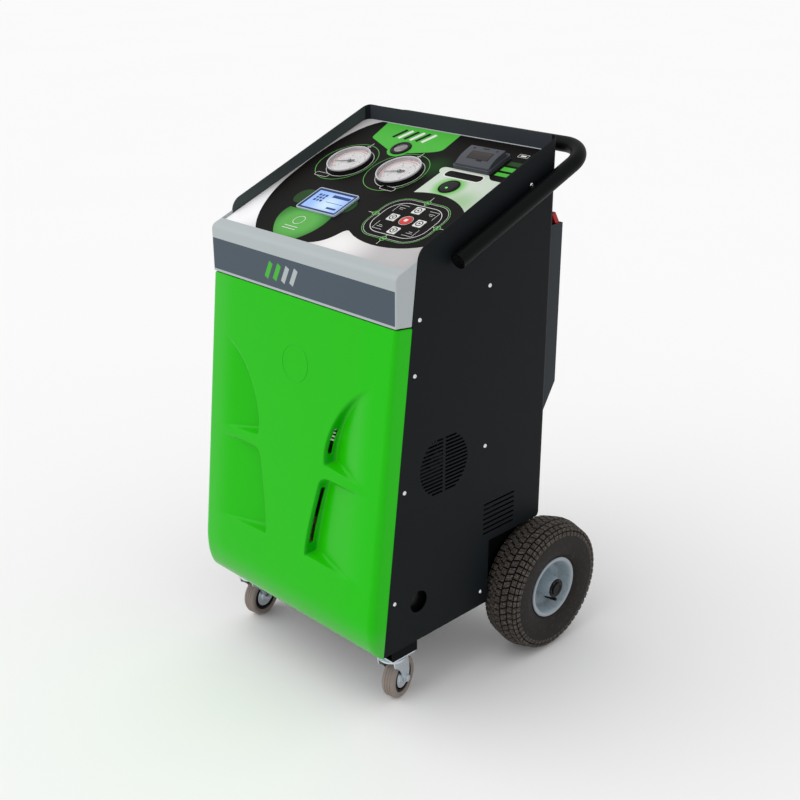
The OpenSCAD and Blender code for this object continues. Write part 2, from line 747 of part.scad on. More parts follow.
// Space of one recess: its outline cut off by a floor that ramps out to the face
module recess(outline, inner, g) {
    intersection() {
        translate([0, -front_proud + recess_depth + 2 * g, 0]) rotate([90, 0, 0])
            linear_extrude(recess_depth + 3 * g + 1) polygon(stretched(outline));
        linear_extrude(cover_h) polygon([[recess_out + 1, -front_proud - g - 1],
            [recess_out + 1, -front_proud + g], [inner - g, -front_proud + recess_depth + g],
            [inner - g, -front_proud - g - 1]]);
    }
}

module recesses(g) {
    for (m = [0, 1]) mirror([m, 0, 0]) {
        recess(upper_recess(g), upper_in, g);
        recess(lower_recess(g), lower_in, g);
    }
}

// Air slots through the inner walls of the recesses
slot_deep = 9;
slot_from = 8;
upper_slot = [[90, 338], [103, 388]];
lower_slot = [[60, 163], [81, 274]];
ring_s = cover_h - 114;

module wall_slot(ends) {
    a = ends[0];
    b = ends[1];
    len = norm(b - a);
    translate([(a[0] + b[0]) / 2, -front_proud + slot_from, (a[1] + b[1]) / 2])
        rotate([0, atan2(b[0] - a[0], b[1] - a[1]), 0])
            translate([-8, 0, -len / 2]) cube([14, slot_deep, len]);
}

lap_l = 22;

module lap_flanges(s0, s1) {
    for (m = [0, 1]) mirror([m, 0, 0]) translate([inner_x - mould_t, -mould_t, s0])
        cube([mould_t, lap_l + mould_t, s1 - s0]);
}

module front_cover() {
    color([0.2, 0.75, 0.14]) on_front() difference() {
        union() {
            difference() {
                front_block(0, 0, cover_h);
                difference() {
                    front_block(mould_t, 2 * lap_l, cover_h - mould_t);
                    recesses(mould_t);
                }
            }
            difference() {
                lap_flanges(chin_h / 2, cover_h - 2 * mould_t);
                for (s = front_screw_s) lap_screw(s);
            }
        }
        recesses(0);
        for (m = [0, 1]) mirror([m, 0, 0]) {
            wall_slot(stretched(upper_slot));
            wall_slot(stretched(lower_slot));
        }
        translate([0, -front_proud + 0.8, ring_s]) rotate([90, 0, 0]) difference() {
            cylinder(d = ring_d, h = 2);
            translate([0, 0, -1]) cylinder(d = ring_d - 3, h = 4);
        }
    }
}

module lap_screw(s) {
    translate([0, screw_inset, s]) rotate([0, 90, 0]) cylinder(d = screw_d, h = body_w + 10, center = true);
}

// Silver fascia above the cover: lip, pocket for the band and ledge for the panel
fascia_tilt = atan(fascia_bulge / (fascia_h - lip_r));

// Height of the line that lies h above the control panel, over depth y in the leaning frame
function over_panel(y, h) = panel_s0 + h / cos(lip_angle) + tan(lip_angle) * y;

module fascia_block() {
    intersection() {
        across_x(body_w) polygon(concat(
            [[0, over_panel(0, lip_rise)], [0, fascia_s], [-front_proud, fascia_s]],
            arc([lip_y(), lip_s()], lip_r, 180, 90 + lip_angle, 8)));
        linear_extrude(big) front_plan(front_proud + fascia_bulge, hw, 0, fascia_r);
    }
}

// Centre of the lip's rounding, tangent to the front face and to the line over the panel
function lip_y() = -front_proud - fascia_bulge + lip_r;
function lip_s() = over_panel(lip_y(), lip_rise - lip_r);

module fascia_hollow() {
    front = -front_proud + mould_t;
    ledge = panel_under - mould_t;
    across_x(body_w - 2 * mould_t) polygon([[lap_l, over_panel(lap_l, ledge)], [lap_l, fascia_s - 1],
        [front, fascia_s - 1], [front, over_panel(front, ledge)]]);
}

// Seat of the control panel in the fascia
module panel_seat() {
    on_panel(0, -panel_nose, panel_under) translate([-inner_x, 0, 0]) cube([2 * inner_x, big / 4, big / 40]);
}

// Block of the dark band, t thick, that may stand out ahead of the face to cut its pocket
module band_block(ahead, t) {
    translate([0, -front_proud, fascia_s]) rotate([fascia_tilt, 0, 0])
        translate([-hw + fascia_r, -ahead, band_low]) cube([body_w - 2 * fascia_r, t + ahead, band_h]);
}

module fascia() {
    color([0.73, 0.75, 0.76]) difference() {
        on_front() {
            difference() {
                fascia_block();
                fascia_hollow();
                band_block(lip_r, band_t);
            }
            difference() {
                lap_flanges(fascia_s + mould_t, fascia_s + fascia_h - lip_r - 4 * mould_t);
                lap_screw(front_screw_s[3]);
            }
        }
        panel_seat();
    }
}

module fascia_band() {
    color([0.3, 0.35, 0.4]) on_front() band_block(0, band_t);
}

// Control panel sheet with the openings of everything that sits in it
case_d = gauge_d - 8;
corner_r = bend_r + 1;

module panel_shape(margin) {
    difference() {
        translate([-inner_x + margin, -panel_nose])
            square([2 * (inner_x - margin), panel_v1 + panel_nose - margin]);
        for (s = [-1, 1]) translate([s * (inner_x - margin), panel_v1 - margin]) rotate(s > 0 ? 180 : 270)
            difference() {
                square(2 * corner_r, center = true);
                translate([corner_r, corner_r]) circle(corner_r);
            }
    }
}

key_at = [[0, key_pitch], [0, -key_pitch], [-key_pitch, 0], [key_pitch, 0]];

module panel_holes() {
    for (x = gauge_xs) translate([x, gauge_v]) circle(d = case_d);
    translate([group_x, display_v]) square([display_w - 12, display_l - 12], center = true);
    translate([group_x, sight_v]) circle(d = sight_d - 10);
    for (p = key_at) translate([keys_x + p[0], keys_v + p[1]])
        square(key_w + 2 * key_gap, center = true);
    translate([keys_x, keys_v]) circle(d = stop_d + 2 * key_gap);
    translate([keys_x, print_v]) circle(d = print_d + 2 * key_gap);
    translate([printer_x, printer_v]) square([printer_w - 8, printer_l - 8], center = true);
}

module control_panel() {
    color("silver") on_panel(0, 0, panel_under) linear_extrude(panel_t) difference() {
        panel_shape(0);
        panel_holes();
    }
}

module panel_overlay() {
    color([0.12, 0.12, 0.12]) on_panel(0, 0, -overlay_t) linear_extrude(overlay_t) difference() {
        panel_shape(1);
        panel_holes();
    }
}

// Board under the keys, with a rim that spaces it from the panel
board_w = 2 * key_pitch + key_w + 24;
board_gap = key_travel + 0.3;

module keypad_board() {
    color([0.1, 0.35, 0.2]) on_panel(keys_x, keys_v, panel_under - board_gap - 1.6) {
        linear_extrude(1.6) square(board_w, center = true);
        translate([0, 0, 1.6 - eps]) linear_extrude(board_gap + eps) difference() {
            square(board_w, center = true);
            square(board_w - 8, center = true);
        }
        translate([0, print_v - keys_v, 0]) {
            cylinder(d = print_d + 12, h = 1.6);
            translate([0, 0, 1.6 - eps]) difference() {
                cylinder(d = print_d + 12, h = board_gap + eps);
                translate([0, 0, -1]) cylinder(d = print_d + 6, h = board_gap + 3);
            }
        }
    }
}

module arrow_key(i) {
    color("white") on_panel(keys_x + key_at[i][0], keys_v + key_at[i][1], panel_under)
        translate([-key_w / 2, -key_w / 2, 0]) cube([key_w, key_w, key_rise - panel_under]);
}

module key_up() { arrow_key(0); }
module key_down() { arrow_key(1); }
module key_left() { arrow_key(2); }
module key_right() { arrow_key(3); }

module key_stop() {
    color([0.85, 0.15, 0.15]) on_panel(keys_x, keys_v, panel_under)
        cylinder(d = stop_d, h = key_rise - panel_under);
}

module print_button() {
    color([0.08, 0.08, 0.08]) on_panel(keys_x, print_v, panel_under) {
        cylinder(d = print_d, h = key_rise - panel_under);
        translate([0, 0, key_rise - panel_under]) cylinder(d1 = print_d - 4, d2 = print_d - 8, h = 0.8);
    }
}

// Pressure gauges: cup with a bezel, dial with a spindle, needle and lens
dial_h = 3;
lens_t = 2;
bezel_w = 4;
spindle_d = 2;
case_depth = 24;
needle_h = dial_h + 2;

module each_gauge() {
    for (x = gauge_xs) on_panel(x, gauge_v) children();
}

module gauge_cases() {
    color([0.08, 0.08, 0.08]) each_gauge() difference() {
        union() {
            cylinder(d = gauge_d, h = gauge_h);
            translate([0, 0, -case_depth]) cylinder(d = case_d - 0.4, h = case_depth + eps);
            translate([0, 0, -case_depth - 22]) cylinder(d = 14, h = 23);
        }
        translate([0, 0, dial_h - 1]) cylinder(d = gauge_d - 2 * bezel_w, h = gauge_h);
        translate([0, 0, -case_depth + 3]) cylinder(d = case_d - 8, h = case_depth);
    }
}

module gauge_dials() {
    color("white") each_gauge() {
        translate([0, 0, dial_h - 1]) cylinder(d = gauge_d - 2 * bezel_w - 0.4, h = 1);
        cylinder(d = spindle_d, h = needle_h + 2);
    }
}

module gauge_lenses() {
    color([0.85, 0.9, 0.92, 0.4]) each_gauge() difference() {
        translate([0, 0, dial_h]) cylinder(d = gauge_d - 2 * bezel_w - 0.4, h = gauge_h - dial_h + 1);
        translate([0, 0, dial_h - 1])
            cylinder(d = gauge_d - 4 * bezel_w, h = gauge_h - dial_h + 2 - lens_t);
    }
}

needle_rest = 200;
needle_l = gauge_d / 2 - 2 * bezel_w - 5;

module needle() {
    rotate(needle_rest) difference() {
        union() {
            linear_extrude(1) polygon([[-10, 2], [-10, -2], [0, -2.4],
                [needle_l, -0.5], [needle_l, 0.5], [0, 2.4]]);
            cylinder(d = 9, h = 1.2);
        }
        translate([0, 0, -1]) cylinder(r = spindle_d / 2 + run_gap, h = 4);
    }
}

module low_needle() { color([0.05, 0.05, 0.05]) on_panel(gauge_xs[0], gauge_v, needle_h) needle(); }
module high_needle() { color([0.05, 0.05, 0.05]) on_panel(gauge_xs[1], gauge_v, needle_h) needle(); }

// Display: raised frame with a lit screen behind it
screen_w = display_w - 14;
screen_l = display_l - 14;

module display_bezel() {
    color([0.55, 0.65, 0.8]) on_panel(group_x, display_v) difference() {
        linear_extrude(display_h) round_rect(display_w, display_l, 4);
        translate([0, 0, display_h - 1]) linear_extrude(2)
            square([screen_w + 4, screen_l + 4], center = true);
        translate([0, 0, -1]) linear_extrude(display_h + 2) square([screen_w, screen_l], center = true);
    }
}

module display_screen() {
    color([0.55, 0.75, 1]) on_panel(group_x, display_v, -6)
        linear_extrude(display_h + 5) square([screen_w - 0.4, screen_l - 0.4], center = true);
}

// Sight glass in the refrigerant line
module sight_glass_ring() {
    color([0.08, 0.08, 0.08]) on_panel(group_x, sight_v) difference() {
        union() {
            cylinder(d1 = sight_d, d2 = sight_d - 4, h = 3);
            translate([0, 0, -18]) cylinder(d = sight_d - 10.4, h = 18 + eps);
        }
        translate([0, 0, -1]) cylinder(d = sight_d - 15, h = 5);
    }
}

module sight_glass_lens() {
    color([0.85, 0.88, 0.9, 0.5]) on_panel(group_x, sight_v, -1) cylinder(d = sight_d - 15.2, h = 3.4);
}

// Printer: frame through the panel, curved lid on a hinge bar and a paper roll
frame_t = 3;
lid_gap = 0.4;
pin_d = 3;
tray_depth = 46;
lid_w = printer_w - 2 * frame_t - 2 * lid_gap;
lid_l = printer_l - 2 * frame_t - lid_gap;
hinge_v = printer_l / 2 - frame_t - 1.2 * pin_d;
ledge_h = 0.8;
hinge_h = printer_h - pin_d / 2;
roll_h = -20;
roll_w = lid_w - 20;
core_d = 12;
lid_skin = 2.2;
slit = 1.2;

module printer_body() {
    color([0.25, 0.27, 0.3]) on_panel(printer_x, printer_v) {
        difference() {
            union() {
                linear_extrude(printer_h) round_rect(printer_w, printer_l, 5);
                translate([0, 0, -tray_depth]) linear_extrude(tray_depth + eps)
                    square([printer_w - 9, printer_l - 9], center = true);
            }
            translate([0, 0, -tray_depth + frame_t]) linear_extrude(big)
                square([lid_w + 2 * lid_gap - 6, printer_l - 2 * frame_t - 6], center = true);
            translate([0, 0, ledge_h]) linear_extrude(big)
                square([lid_w + 2 * lid_gap, printer_l - 2 * frame_t], center = true);
        }
        translate([-lid_w / 2 - lid_gap - eps, hinge_v, hinge_h]) rotate([0, 90, 0])
            cylinder(d = pin_d, h = lid_w + 2 * lid_gap + 2 * eps);
        translate([0, 0, roll_h]) rotate([0, 90, 0])
            cylinder(d = core_d / 2, h = printer_w - 10, center = true);
    }
}

// Curved lid profile over the slope and the height, hollow below and open at the hinge
lid_front = hinge_v + pin_d - lid_l;
lid_low = ledge_h + lid_gap;
lid_back = hinge_v - pin_d / 2 - 0.1;

module lid_profile() {
    front = lid_front + slit;
    heel = hinge_h - pin_d + 0.4;
    difference() {
        polygon(concat([[front, lid_low], [front, printer_h]],
            curve([[front + 1, printer_h + 2], [front + lid_l * 0.3, printer_h + lid_rise],
                [front + lid_l * 0.5, printer_h + lid_rise], [lid_back, printer_h + lid_rise]], 10),
            [[lid_back, printer_h + pin_d / 2 + 0.5], [hinge_v, printer_h + pin_d / 2],
             [hinge_v + pin_d - 0.4, hinge_h], [hinge_v, heel], [hinge_v - pin_d, heel],
             [hinge_v - pin_d, printer_h - 2], [front + lid_skin, printer_h - 2],
             [front + lid_skin, lid_low]]));
        translate([hinge_v, hinge_h]) circle(r = pin_d / 2 + run_gap, $fn = 32);
    }
}

module printer_lid() {
    color([0.28, 0.3, 0.33]) on_panel(printer_x, printer_v) across_x(lid_w) lid_profile();
}

module paper_roll() {
    color("ivory") on_panel(printer_x, printer_v, roll_h) rotate([0, 90, 0]) difference() {
        cylinder(d = paper_d, h = roll_w, center = true);
        cylinder(r = core_d / 4 + run_gap, h = roll_w + 2, center = true);
    }
}

// U-shaped handle tube along the side panels with its grip behind the rear
handle_x = hw + handle_gap + tube_d / 2;
boss_at = [0.45, 0.9];

module on_handle() {
    translate([0, body_d + handle_reach, handle_z]) rotate([top_slope, 0, 0]) children();
}

module handle_path(r) {
    rotate([0, 90, 0]) cylinder(r = r, h = 2 * (handle_x - handle_bend), center = true);
    for (m = [0, 1]) mirror([m, 0, 0]) {
        translate([handle_x - handle_bend, -handle_bend, 0]) rotate_extrude(angle = 90)
            translate([handle_bend, 0]) circle(r);
        translate([handle_x, -handle_bend, 0]) rotate([90, 0, 0]) cylinder(r = r, h = handle_l - handle_bend);
    }
}

module handle_tube() {
    color([0.06, 0.06, 0.06]) on_handle() {
        difference() {
            handle_path(tube_d / 2);
            handle_path(tube_d / 2 - tube_wall);
            for (s = [-1, 1]) translate([s * handle_x, -handle_l, 0]) rotate([90, 0, 0])
                cylinder(d = tube_d - 2 * tube_wall, h = 1, center = true);
        }
        for (s = [-1, 1], f = boss_at) translate([s * (hw + (handle_gap + tube_wall) / 2), -handle_l * f, 0])
            rotate([0, 90, 0]) cylinder(d = tube_d / 2, h = handle_gap + tube_wall, center = true);
    }
}

module handle_end_plugs() {
    color([0.03, 0.03, 0.03]) on_handle() for (s = [-1, 1]) translate([s * handle_x, -handle_l + 2, 0])
        rotate([-90, 0, 0]) difference() {
            cylinder(d = tube_d - 2 * tube_wall, h = 18);
            translate([0, 0, -1]) cylinder(d = tube_d - 4 * tube_wall, h = 4);
        }
}

// Pocket on the rear, open at the top, and the folder that stands in it
pocket_t = 1.5;
pocket_out = body_d + pocket_d;

module rear_pocket() {
    color([0.12, 0.13, 0.14]) difference() {
        across_x(pocket_w) polygon([[body_d, pocket_in], [pocket_out, pocket_low], [pocket_out, pocket_top],
            [body_d, pocket_top]]);
        across_x(pocket_w - 2 * pocket_t) polygon([[body_d + pocket_t, pocket_in + 2 * pocket_t],
            [pocket_out - pocket_t, pocket_low + pocket_t], [pocket_out - pocket_t, pocket_top + 1],
            [body_d + pocket_t, pocket_top + 1]]);
    }
}

folder_gap = 0.5;
folder_y = pocket_out - pocket_t - folder_gap - folder_t;
folder_z = pocket_low + pocket_t + folder_gap;
folder_bend = pocket_top - 8;
folder_flap = 34;
folder_tilt = 31;

module document_folder() {
    flap = folder_flap * [-sin(folder_tilt), cos(folder_tilt)];
    inner = [folder_y, folder_bend - 4];
    outer = [folder_y + folder_t, folder_bend];
    color([0.75, 0.08, 0.08]) translate([pocket_w / 2 - pocket_t - folder_gap - folder_w / 2, 0, 0])
        across_x(folder_w) polygon([[inner[0], folder_z], [outer[0], folder_z], outer, outer + flap,
            inner + flap, inner]);
}

// Mains inlet, rocker switch and the two service ports on the rear panel
socket_depth = 20;

module on_rear(x) {
    translate([x, rear_in + sheet_t, conn_z]) rotate([-90, 0, 0]) mirror([0, 1, 0]) children();
}

module power_inlet() {
    color([0.07, 0.07, 0.07]) on_rear(inlet_x) {
        difference() {
            union() {
                linear_extrude(2.5) round_rect(inlet_w + 22, inlet_l + 6, 4);
                translate([0, 0, -socket_depth - 4]) linear_extrude(socket_depth + 5)
                    square([inlet_w - 0.4, inlet_l - 0.4], center = true);
            }
            translate([0, 0, -socket_depth]) linear_extrude(socket_depth + 5)
                square([24.5, 16.5], center = true);
        }
        for (x = [-7, 0, 7]) translate([x - 1, (x == 0 ? 0.5 : -4.5), -socket_depth - eps])
            cube([2, 4, 13]);
        translate([switch_x - inlet_x, 0, 0]) difference() {
            union() {
                linear_extrude(2.5) round_rect(switch_w + 6, switch_l + 6, 3);
                translate([0, 0, -22]) linear_extrude(23)
                    square([switch_w - 0.4, switch_l - 0.4], center = true);
            }
            translate([0, 0, -14]) linear_extrude(20) square([switch_w - 6, switch_l - 5], center = true);
        }
        translate([switch_x - inlet_x, 0, -4]) rotate([0, 90, 0])
            cylinder(d = pin_d, h = switch_w - 4, center = true);
    }
}

rocker_turn = 10;
rocker_l = switch_l - 8;

module main_switch() {
    color([0.8, 0.1, 0.1]) on_rear(switch_x) translate([0, 0, -4]) rotate([rocker_turn, 0, 0]) difference() {
        across_x(switch_w - 6.6) polygon([[-rocker_l / 2, 7], [0, 5.6], [rocker_l / 2, 7],
            [rocker_l / 2 - 1, 0], [3, -4], [-3, -4], [-rocker_l / 2 + 1, 0]]);
        rotate([0, 90, 0]) cylinder(r = pin_d / 2 + run_gap, h = switch_w, center = true);
    }
}

port_d = 14;
port_l = 22;
port_in = 26;

module service_ports() {
    color([0.72, 0.6, 0.3]) for (x = port_x) on_rear(x) {
        cylinder(d = port_hole_d + 10, h = 5, $fn = 6);
        translate([0, 0, 5 - eps]) cylinder(d = port_d, h = port_l);
        translate([0, 0, -sheet_t]) cylinder(d = port_hole_d, h = sheet_t + eps);
        translate([0, 0, -sheet_t - port_in]) cylinder(d = port_hole_d + 6, h = port_in, $fn = 6);
    }
}

// Inside: tank on its scale, compressor, pump, condenser with fan, drier, valves, board, bottles
bottle_gap = 6;
tank_x = -86;
tank_y = rear_in - tank_d / 2 - 39;
scale_h = 34;

module tank_scale() {
    color("silver") translate([tank_x, tank_y, deck_z]) {
        translate([-80, -80, 0]) cube([160, 160, 4]);
        translate([-70, -15, 3]) cube([140, 30, scale_h - 6]);
        translate([-90, -90, scale_h - 4]) cube([180, 180, 4]);
    }
}

tank_t = 3;
neck_r = 14;

// Outline of one half of the tank's shell, drawn in by the given inset
function tank_half(inset) = let (r = tank_d / 2 - inset) concat(
    curve([[60, 12 + inset], [r - 10, 14 + inset], [r, 32], [r, 52]], 6),
    curve([[r, tank_h - 80], [r, tank_h - 44], [r - 40, tank_h - 30 - inset],
        [neck_r + 8, tank_h - 28 - inset]], 8));

module refrigerant_tank() {
    color([0.55, 0.58, 0.6]) translate([tank_x, tank_y, deck_z + scale_h]) {
        rotate_extrude() difference() {
            union() {
                polygon(concat([[0, 12]], tank_half(0), [[0, tank_h - 28]]));
                translate([0, tank_h - 34]) square([neck_r + 8, 18]);
                translate([60, 0]) square([6, 16]);
            }
            polygon(concat([[0, 12 + tank_t]], tank_half(tank_t), [[0, tank_h - 28 - tank_t]]));
            translate([-1, tank_h - 60]) square([neck_r + 1, 60]);
        }
        translate([0, 0, tank_h - 40]) cylinder(r = neck_r - seat_gap, h = 25);
        translate([-18, -18, tank_h - 16 + seat_gap]) cube([36, 36, 30]);
    }
}

comp_x = well_x - comp_d / 2 - 18;
comp_y = rear_in - port_in - comp_d / 2 - 4;

module compressor() {
    r = comp_d / 2;
    color([0.08, 0.08, 0.08]) translate([comp_x, comp_y, deck_z]) {
        rotate_extrude() polygon(concat([[0, 20], [r - 30, 20]],
            curve([[r - 30, 20], [r - 8, 22], [r, 34], [r, 56]], 6),
            curve([[r, comp_h - 64], [r, comp_h - 20], [r - 40, comp_h], [0, comp_h]], 8)));
        for (a = [45:90:315]) rotate(a) translate([r - 36, 0, 0]) cylinder(d = 26, h = 22);
    }
}

pump_motor_l = 90;
pump_motor_d = 96;
pump_l = 86;
pump_h = 120;
pump_foot = 20;
pump_glass_l = 6;
pump_x = inner_x - 13 - pump_glass_l;

// Vacuum pump: motor, oil case with the window towards the side panel, and foot
module vacuum_pump() {
    color([0.3, 0.32, 0.35]) translate([pump_x, oil_y, deck_z]) {
        translate([-pump_l, -pump_motor_d / 2, 0]) cube([pump_l, pump_motor_d, pump_h]);
        translate([-pump_l - pump_motor_l, 0, pump_h / 2]) rotate([0, 90, 0])
            cylinder(d = pump_motor_d, h = pump_motor_l + eps);
        translate([-pump_l - pump_motor_l + pump_foot / 2, -pump_motor_d / 3, 0])
            cube([pump_motor_l - pump_foot, pump_motor_d / 1.5, pump_foot]);
        translate([-eps, 0, oil_z - deck_z]) rotate([0, 90, 0])
            cylinder(d = oil_hole_d - 12, h = pump_glass_l);
    }
}

shroud_d = 56;
coil_t = 36;
motor_d = 44;
fan_x = inner_x - 26;

module fan_shroud() {
    color([0.1, 0.1, 0.1]) translate([inner_x - shroud_d, fan_y, fan_z]) rotate([90, 0, 90]) {
        difference() {
            linear_extrude(shroud_d) square(shroud_w, center = true);
            translate([0, 0, 3]) linear_extrude(shroud_d) square(shroud_w - 6, center = true);
            translate([0, 0, -1]) cylinder(d = fan_d + 6, h = 10);
        }
        for (a = [0, 90]) rotate(a) translate([-shroud_w / 2 + 2, -5, 0]) cube([shroud_w - 4, 10, 3]);
        cylinder(d = motor_d, h = 20);
        cylinder(d = 6, h = shroud_d - 8);
    }
}

blade_n = 5;

module fan() {
    color([0.15, 0.15, 0.15]) translate([fan_x, fan_y, fan_z]) rotate([0, 90, 0]) difference() {
        union() {
            cylinder(d = 34, h = 18, center = true);
            for (i = [0:blade_n - 1]) rotate(i * 360 / blade_n) translate([15, 0, 0]) rotate([32, 0, 0])
                translate([0, -14, -1]) cube([fan_d / 2 - 17, 28, 2]);
        }
        cylinder(r = 3 + run_gap, h = 40, center = true);
    }
}

fin_n = 13;

module condenser_coil() {
    color([0.7, 0.72, 0.74]) translate([inner_x - shroud_d - coil_t, fan_y, fan_z]) {
        for (i = [0:fin_n - 1])
            translate([0, -shroud_w / 2, -shroud_w / 2 + i * (shroud_w - 2) / (fin_n - 1)])
                cube([coil_t, shroud_w, 2]);
        for (y = [-0.36, -0.12, 0.12, 0.36], x = [0.3, 0.7])
            translate([x * coil_t, y * shroud_w, -shroud_w / 2]) cylinder(d = 9, h = shroud_w);
    }
}

drier_r = 37;
drier_h = 196;
drier_neck = 7;
drier_y = 2 * bottle_d + bottle_gap;
stub_r = 9;
stub_l = 18;

module filter_drier() {
    end = drier_r - drier_neck;
    color([0.2, 0.35, 0.6]) translate([-inner_x + drier_r + 12, drier_y, deck_z]) rotate_extrude()
        polygon([[0, 0], [end, 0], [end, drier_neck], [drier_r, 2 * drier_neck],
            [drier_r, drier_h - 3 * drier_neck], [end, drier_h - 1.5 * drier_neck], [1.3 * stub_r, drier_h],
            [stub_r, drier_h], [stub_r, drier_h + stub_l], [0, drier_h + stub_l]]);
}

// Valve block on the rear panel's inner face, with coils on top and copper tails
block_z = 640;
block_w = 260;
block_d = 50;
block_h = 44;
valve_n = 6;
coil_w = 30;
stem_d = 14;
tail_n = 3;
tail_d = 10;
tail_l = 120;

module valve_manifold() {
    color([0.75, 0.6, 0.35]) translate([tank_x - block_w / 4, rear_in, block_z]) {
        translate([0, -block_d, 0]) cube([block_w, block_d, block_h]);
        for (i = [0:valve_n - 1]) translate([block_w * (i + 0.5) / valve_n, -block_d / 2, block_h - eps]) {
            cylinder(d = stem_d, h = coil_w);
            translate([-coil_w / 2, -coil_w / 2, stem_d]) cube(coil_w);
        }
        for (i = [0:tail_n - 1]) translate([block_w * (i + 0.5) / tail_n, -block_d / 2, -tail_l])
            cylinder(d = tail_d, h = tail_l + eps);
    }
}

// Control board on four posts, with its transformer and a connector
board_y = 170;
board_z = 620;
board_l = 170;
board_h = 120;
post_l = 10;
post_d = 7;
trafo_w = 50;
plug_w = 30;

module control_board() {
    color([0.1, 0.4, 0.2]) translate([-inner_x, board_y, board_z]) {
        translate([post_l, 0, 0]) cube([2, board_l, board_h]);
        for (y = [post_l, board_l - post_l], z = [post_l, board_h - post_l])
            translate([0, y, z]) rotate([0, 90, 0]) cylinder(d = post_d, h = post_l + eps);
        translate([post_l + 2 - eps, 2 * post_l, 2 * post_l]) cube([trafo_w / 2, trafo_w, trafo_w]);
        translate([post_l + 2 - eps, board_l / 2 + post_l, board_h / 2]) cube([plug_w / 2, plug_w, plug_w]);
    }
}

bottle_n = 3;
bottle_h = 120;
mouth_r = 14;
cap_h = 18;

module oil_bottles() {
    r = bottle_d / 2;
    color([0.9, 0.88, 0.75, 0.7]) for (i = [0:bottle_n - 1])
        translate([tank_x - 40 + i * (bottle_d + bottle_gap), 2 * r, deck_z]) rotate_extrude()
            polygon([[0, 0], [r - 3, 0], [r, 3], [r, bottle_h - 10], [r - 4, bottle_h],
                [mouth_r, bottle_h + cap_h / 2], [mouth_r, bottle_h + cap_h], [mouth_r + 3, bottle_h + cap_h],
                [mouth_r + 3, bottle_h + 2 * cap_h], [0, bottle_h + 2 * cap_h]]);
}

placed() chassis_base();
placed() axle();
placed() axle_caps();
placed() side_panel_right();
placed() side_panel_left();
placed() rear_panel();
placed() front_cover();
placed() fascia();
placed() fascia_band();
placed() control_panel();
placed() panel_overlay();
placed() keypad_board();
placed() gauge_cases();
placed() gauge_dials();
placed() gauge_lenses();
placed() low_needle();
placed() high_needle();
placed() display_bezel();
placed() display_screen();
placed() sight_glass_ring();
placed() sight_glass_lens();
placed() key_up();
placed() key_down();
placed() key_left();
placed() key_right();
placed() key_stop();
placed() print_button();
placed() printer_body();
placed() printer_lid();
placed() paper_roll();
placed() handle_tube();
placed() handle_end_plugs();
placed() rear_pocket();
placed() document_folder();
placed() power_inlet();
placed() main_switch();
placed() service_ports();
placed() panel_screws();
placed() tyre_left();
placed() tyre_right();
placed() rim_left();
placed() rim_right();
placed() caster_plates();
placed() fork_left();
placed() fork_right();
placed() caster_hub_left();
placed() caster_hub_right();
placed() caster_tyre_left();
placed() caster_tyre_right();
placed() compressor();
placed() refrigerant_tank();
placed() tank_scale();
placed() vacuum_pump();
placed() condenser_coil();
placed() fan_shroud();
placed() fan();
placed() filter_drier();
placed() valve_manifold();
placed() control_board();
placed() oil_bottles();
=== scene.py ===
import json
import math
from functools import partial

import bmesh
import bpy
import numpy as np
from mathutils import Matrix, Vector


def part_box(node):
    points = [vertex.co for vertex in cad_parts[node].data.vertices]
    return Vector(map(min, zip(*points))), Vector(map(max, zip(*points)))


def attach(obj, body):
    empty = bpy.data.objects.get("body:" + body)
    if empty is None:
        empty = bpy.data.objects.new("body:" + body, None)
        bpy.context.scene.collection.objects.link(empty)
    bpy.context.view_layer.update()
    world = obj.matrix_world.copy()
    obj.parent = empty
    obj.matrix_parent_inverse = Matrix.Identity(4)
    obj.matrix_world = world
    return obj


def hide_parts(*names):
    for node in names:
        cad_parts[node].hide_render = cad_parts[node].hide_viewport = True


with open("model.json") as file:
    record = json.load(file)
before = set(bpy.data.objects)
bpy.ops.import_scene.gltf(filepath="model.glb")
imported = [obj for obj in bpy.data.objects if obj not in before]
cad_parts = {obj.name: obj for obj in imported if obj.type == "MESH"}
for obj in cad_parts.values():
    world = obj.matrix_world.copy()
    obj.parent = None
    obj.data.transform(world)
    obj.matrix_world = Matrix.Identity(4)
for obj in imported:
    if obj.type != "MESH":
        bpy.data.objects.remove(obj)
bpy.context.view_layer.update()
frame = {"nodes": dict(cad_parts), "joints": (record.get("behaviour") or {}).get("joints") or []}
nodes = frame["nodes"]
joints = {j["name"]: j for j in frame["joints"]}

# Sizes in millimetres, in the part's own frame
MM = 0.001
BODY_W = 473
HALF = BODY_W / 2
SHEET = 1.5
LEAN = 6.5
PROUD = 35.8
COVER_H = 592
COVER_R = 11
COVER_R_TOP = 7
COVER_R_LOW = 14
CHIN_H = 88
MOULD = 3
RECESS = 24
RECESS_OUT = 182
SPLIT = 2
FASCIA_S = COVER_H + SPLIT
FASCIA_R = 3
BULGE = 9
LIP_R = 12
LIP_RISE = 5.5
BAND_H = 57
BAND_LOW = 4.5
BAND_T = 1.5
BAND_PROUD = 0.3
PANEL_NOSE = 25
PANEL_UNDER = -2.8
PANEL_LEN = 360.07
GROUP_X = -68
GAUGE_XS = (-133, -3)
GAUGE_V = 0.589 * PANEL_LEN
GAUGE_D = 86
NEEDLE_H = 5
DISPLAY_V = 0.25 * PANEL_LEN
SIGHT_V = 0.789 * PANEL_LEN
KEYS_X = 123
KEYS_V = 0.261 * PANEL_LEN
KEY_PITCH = 31
KEY_W = 19
KEY_RISE = 1
STOP_D = 23
PRINT_V = 0.569 * PANEL_LEN
PRINT_D = 33
PRINTER_X = 128
PRINTER_V = 0.8 * PANEL_LEN
TYRE_R = 130
TYRE_W = 78
RIM_D = 121
HUB_OUT = 36
CASTER_D = 80

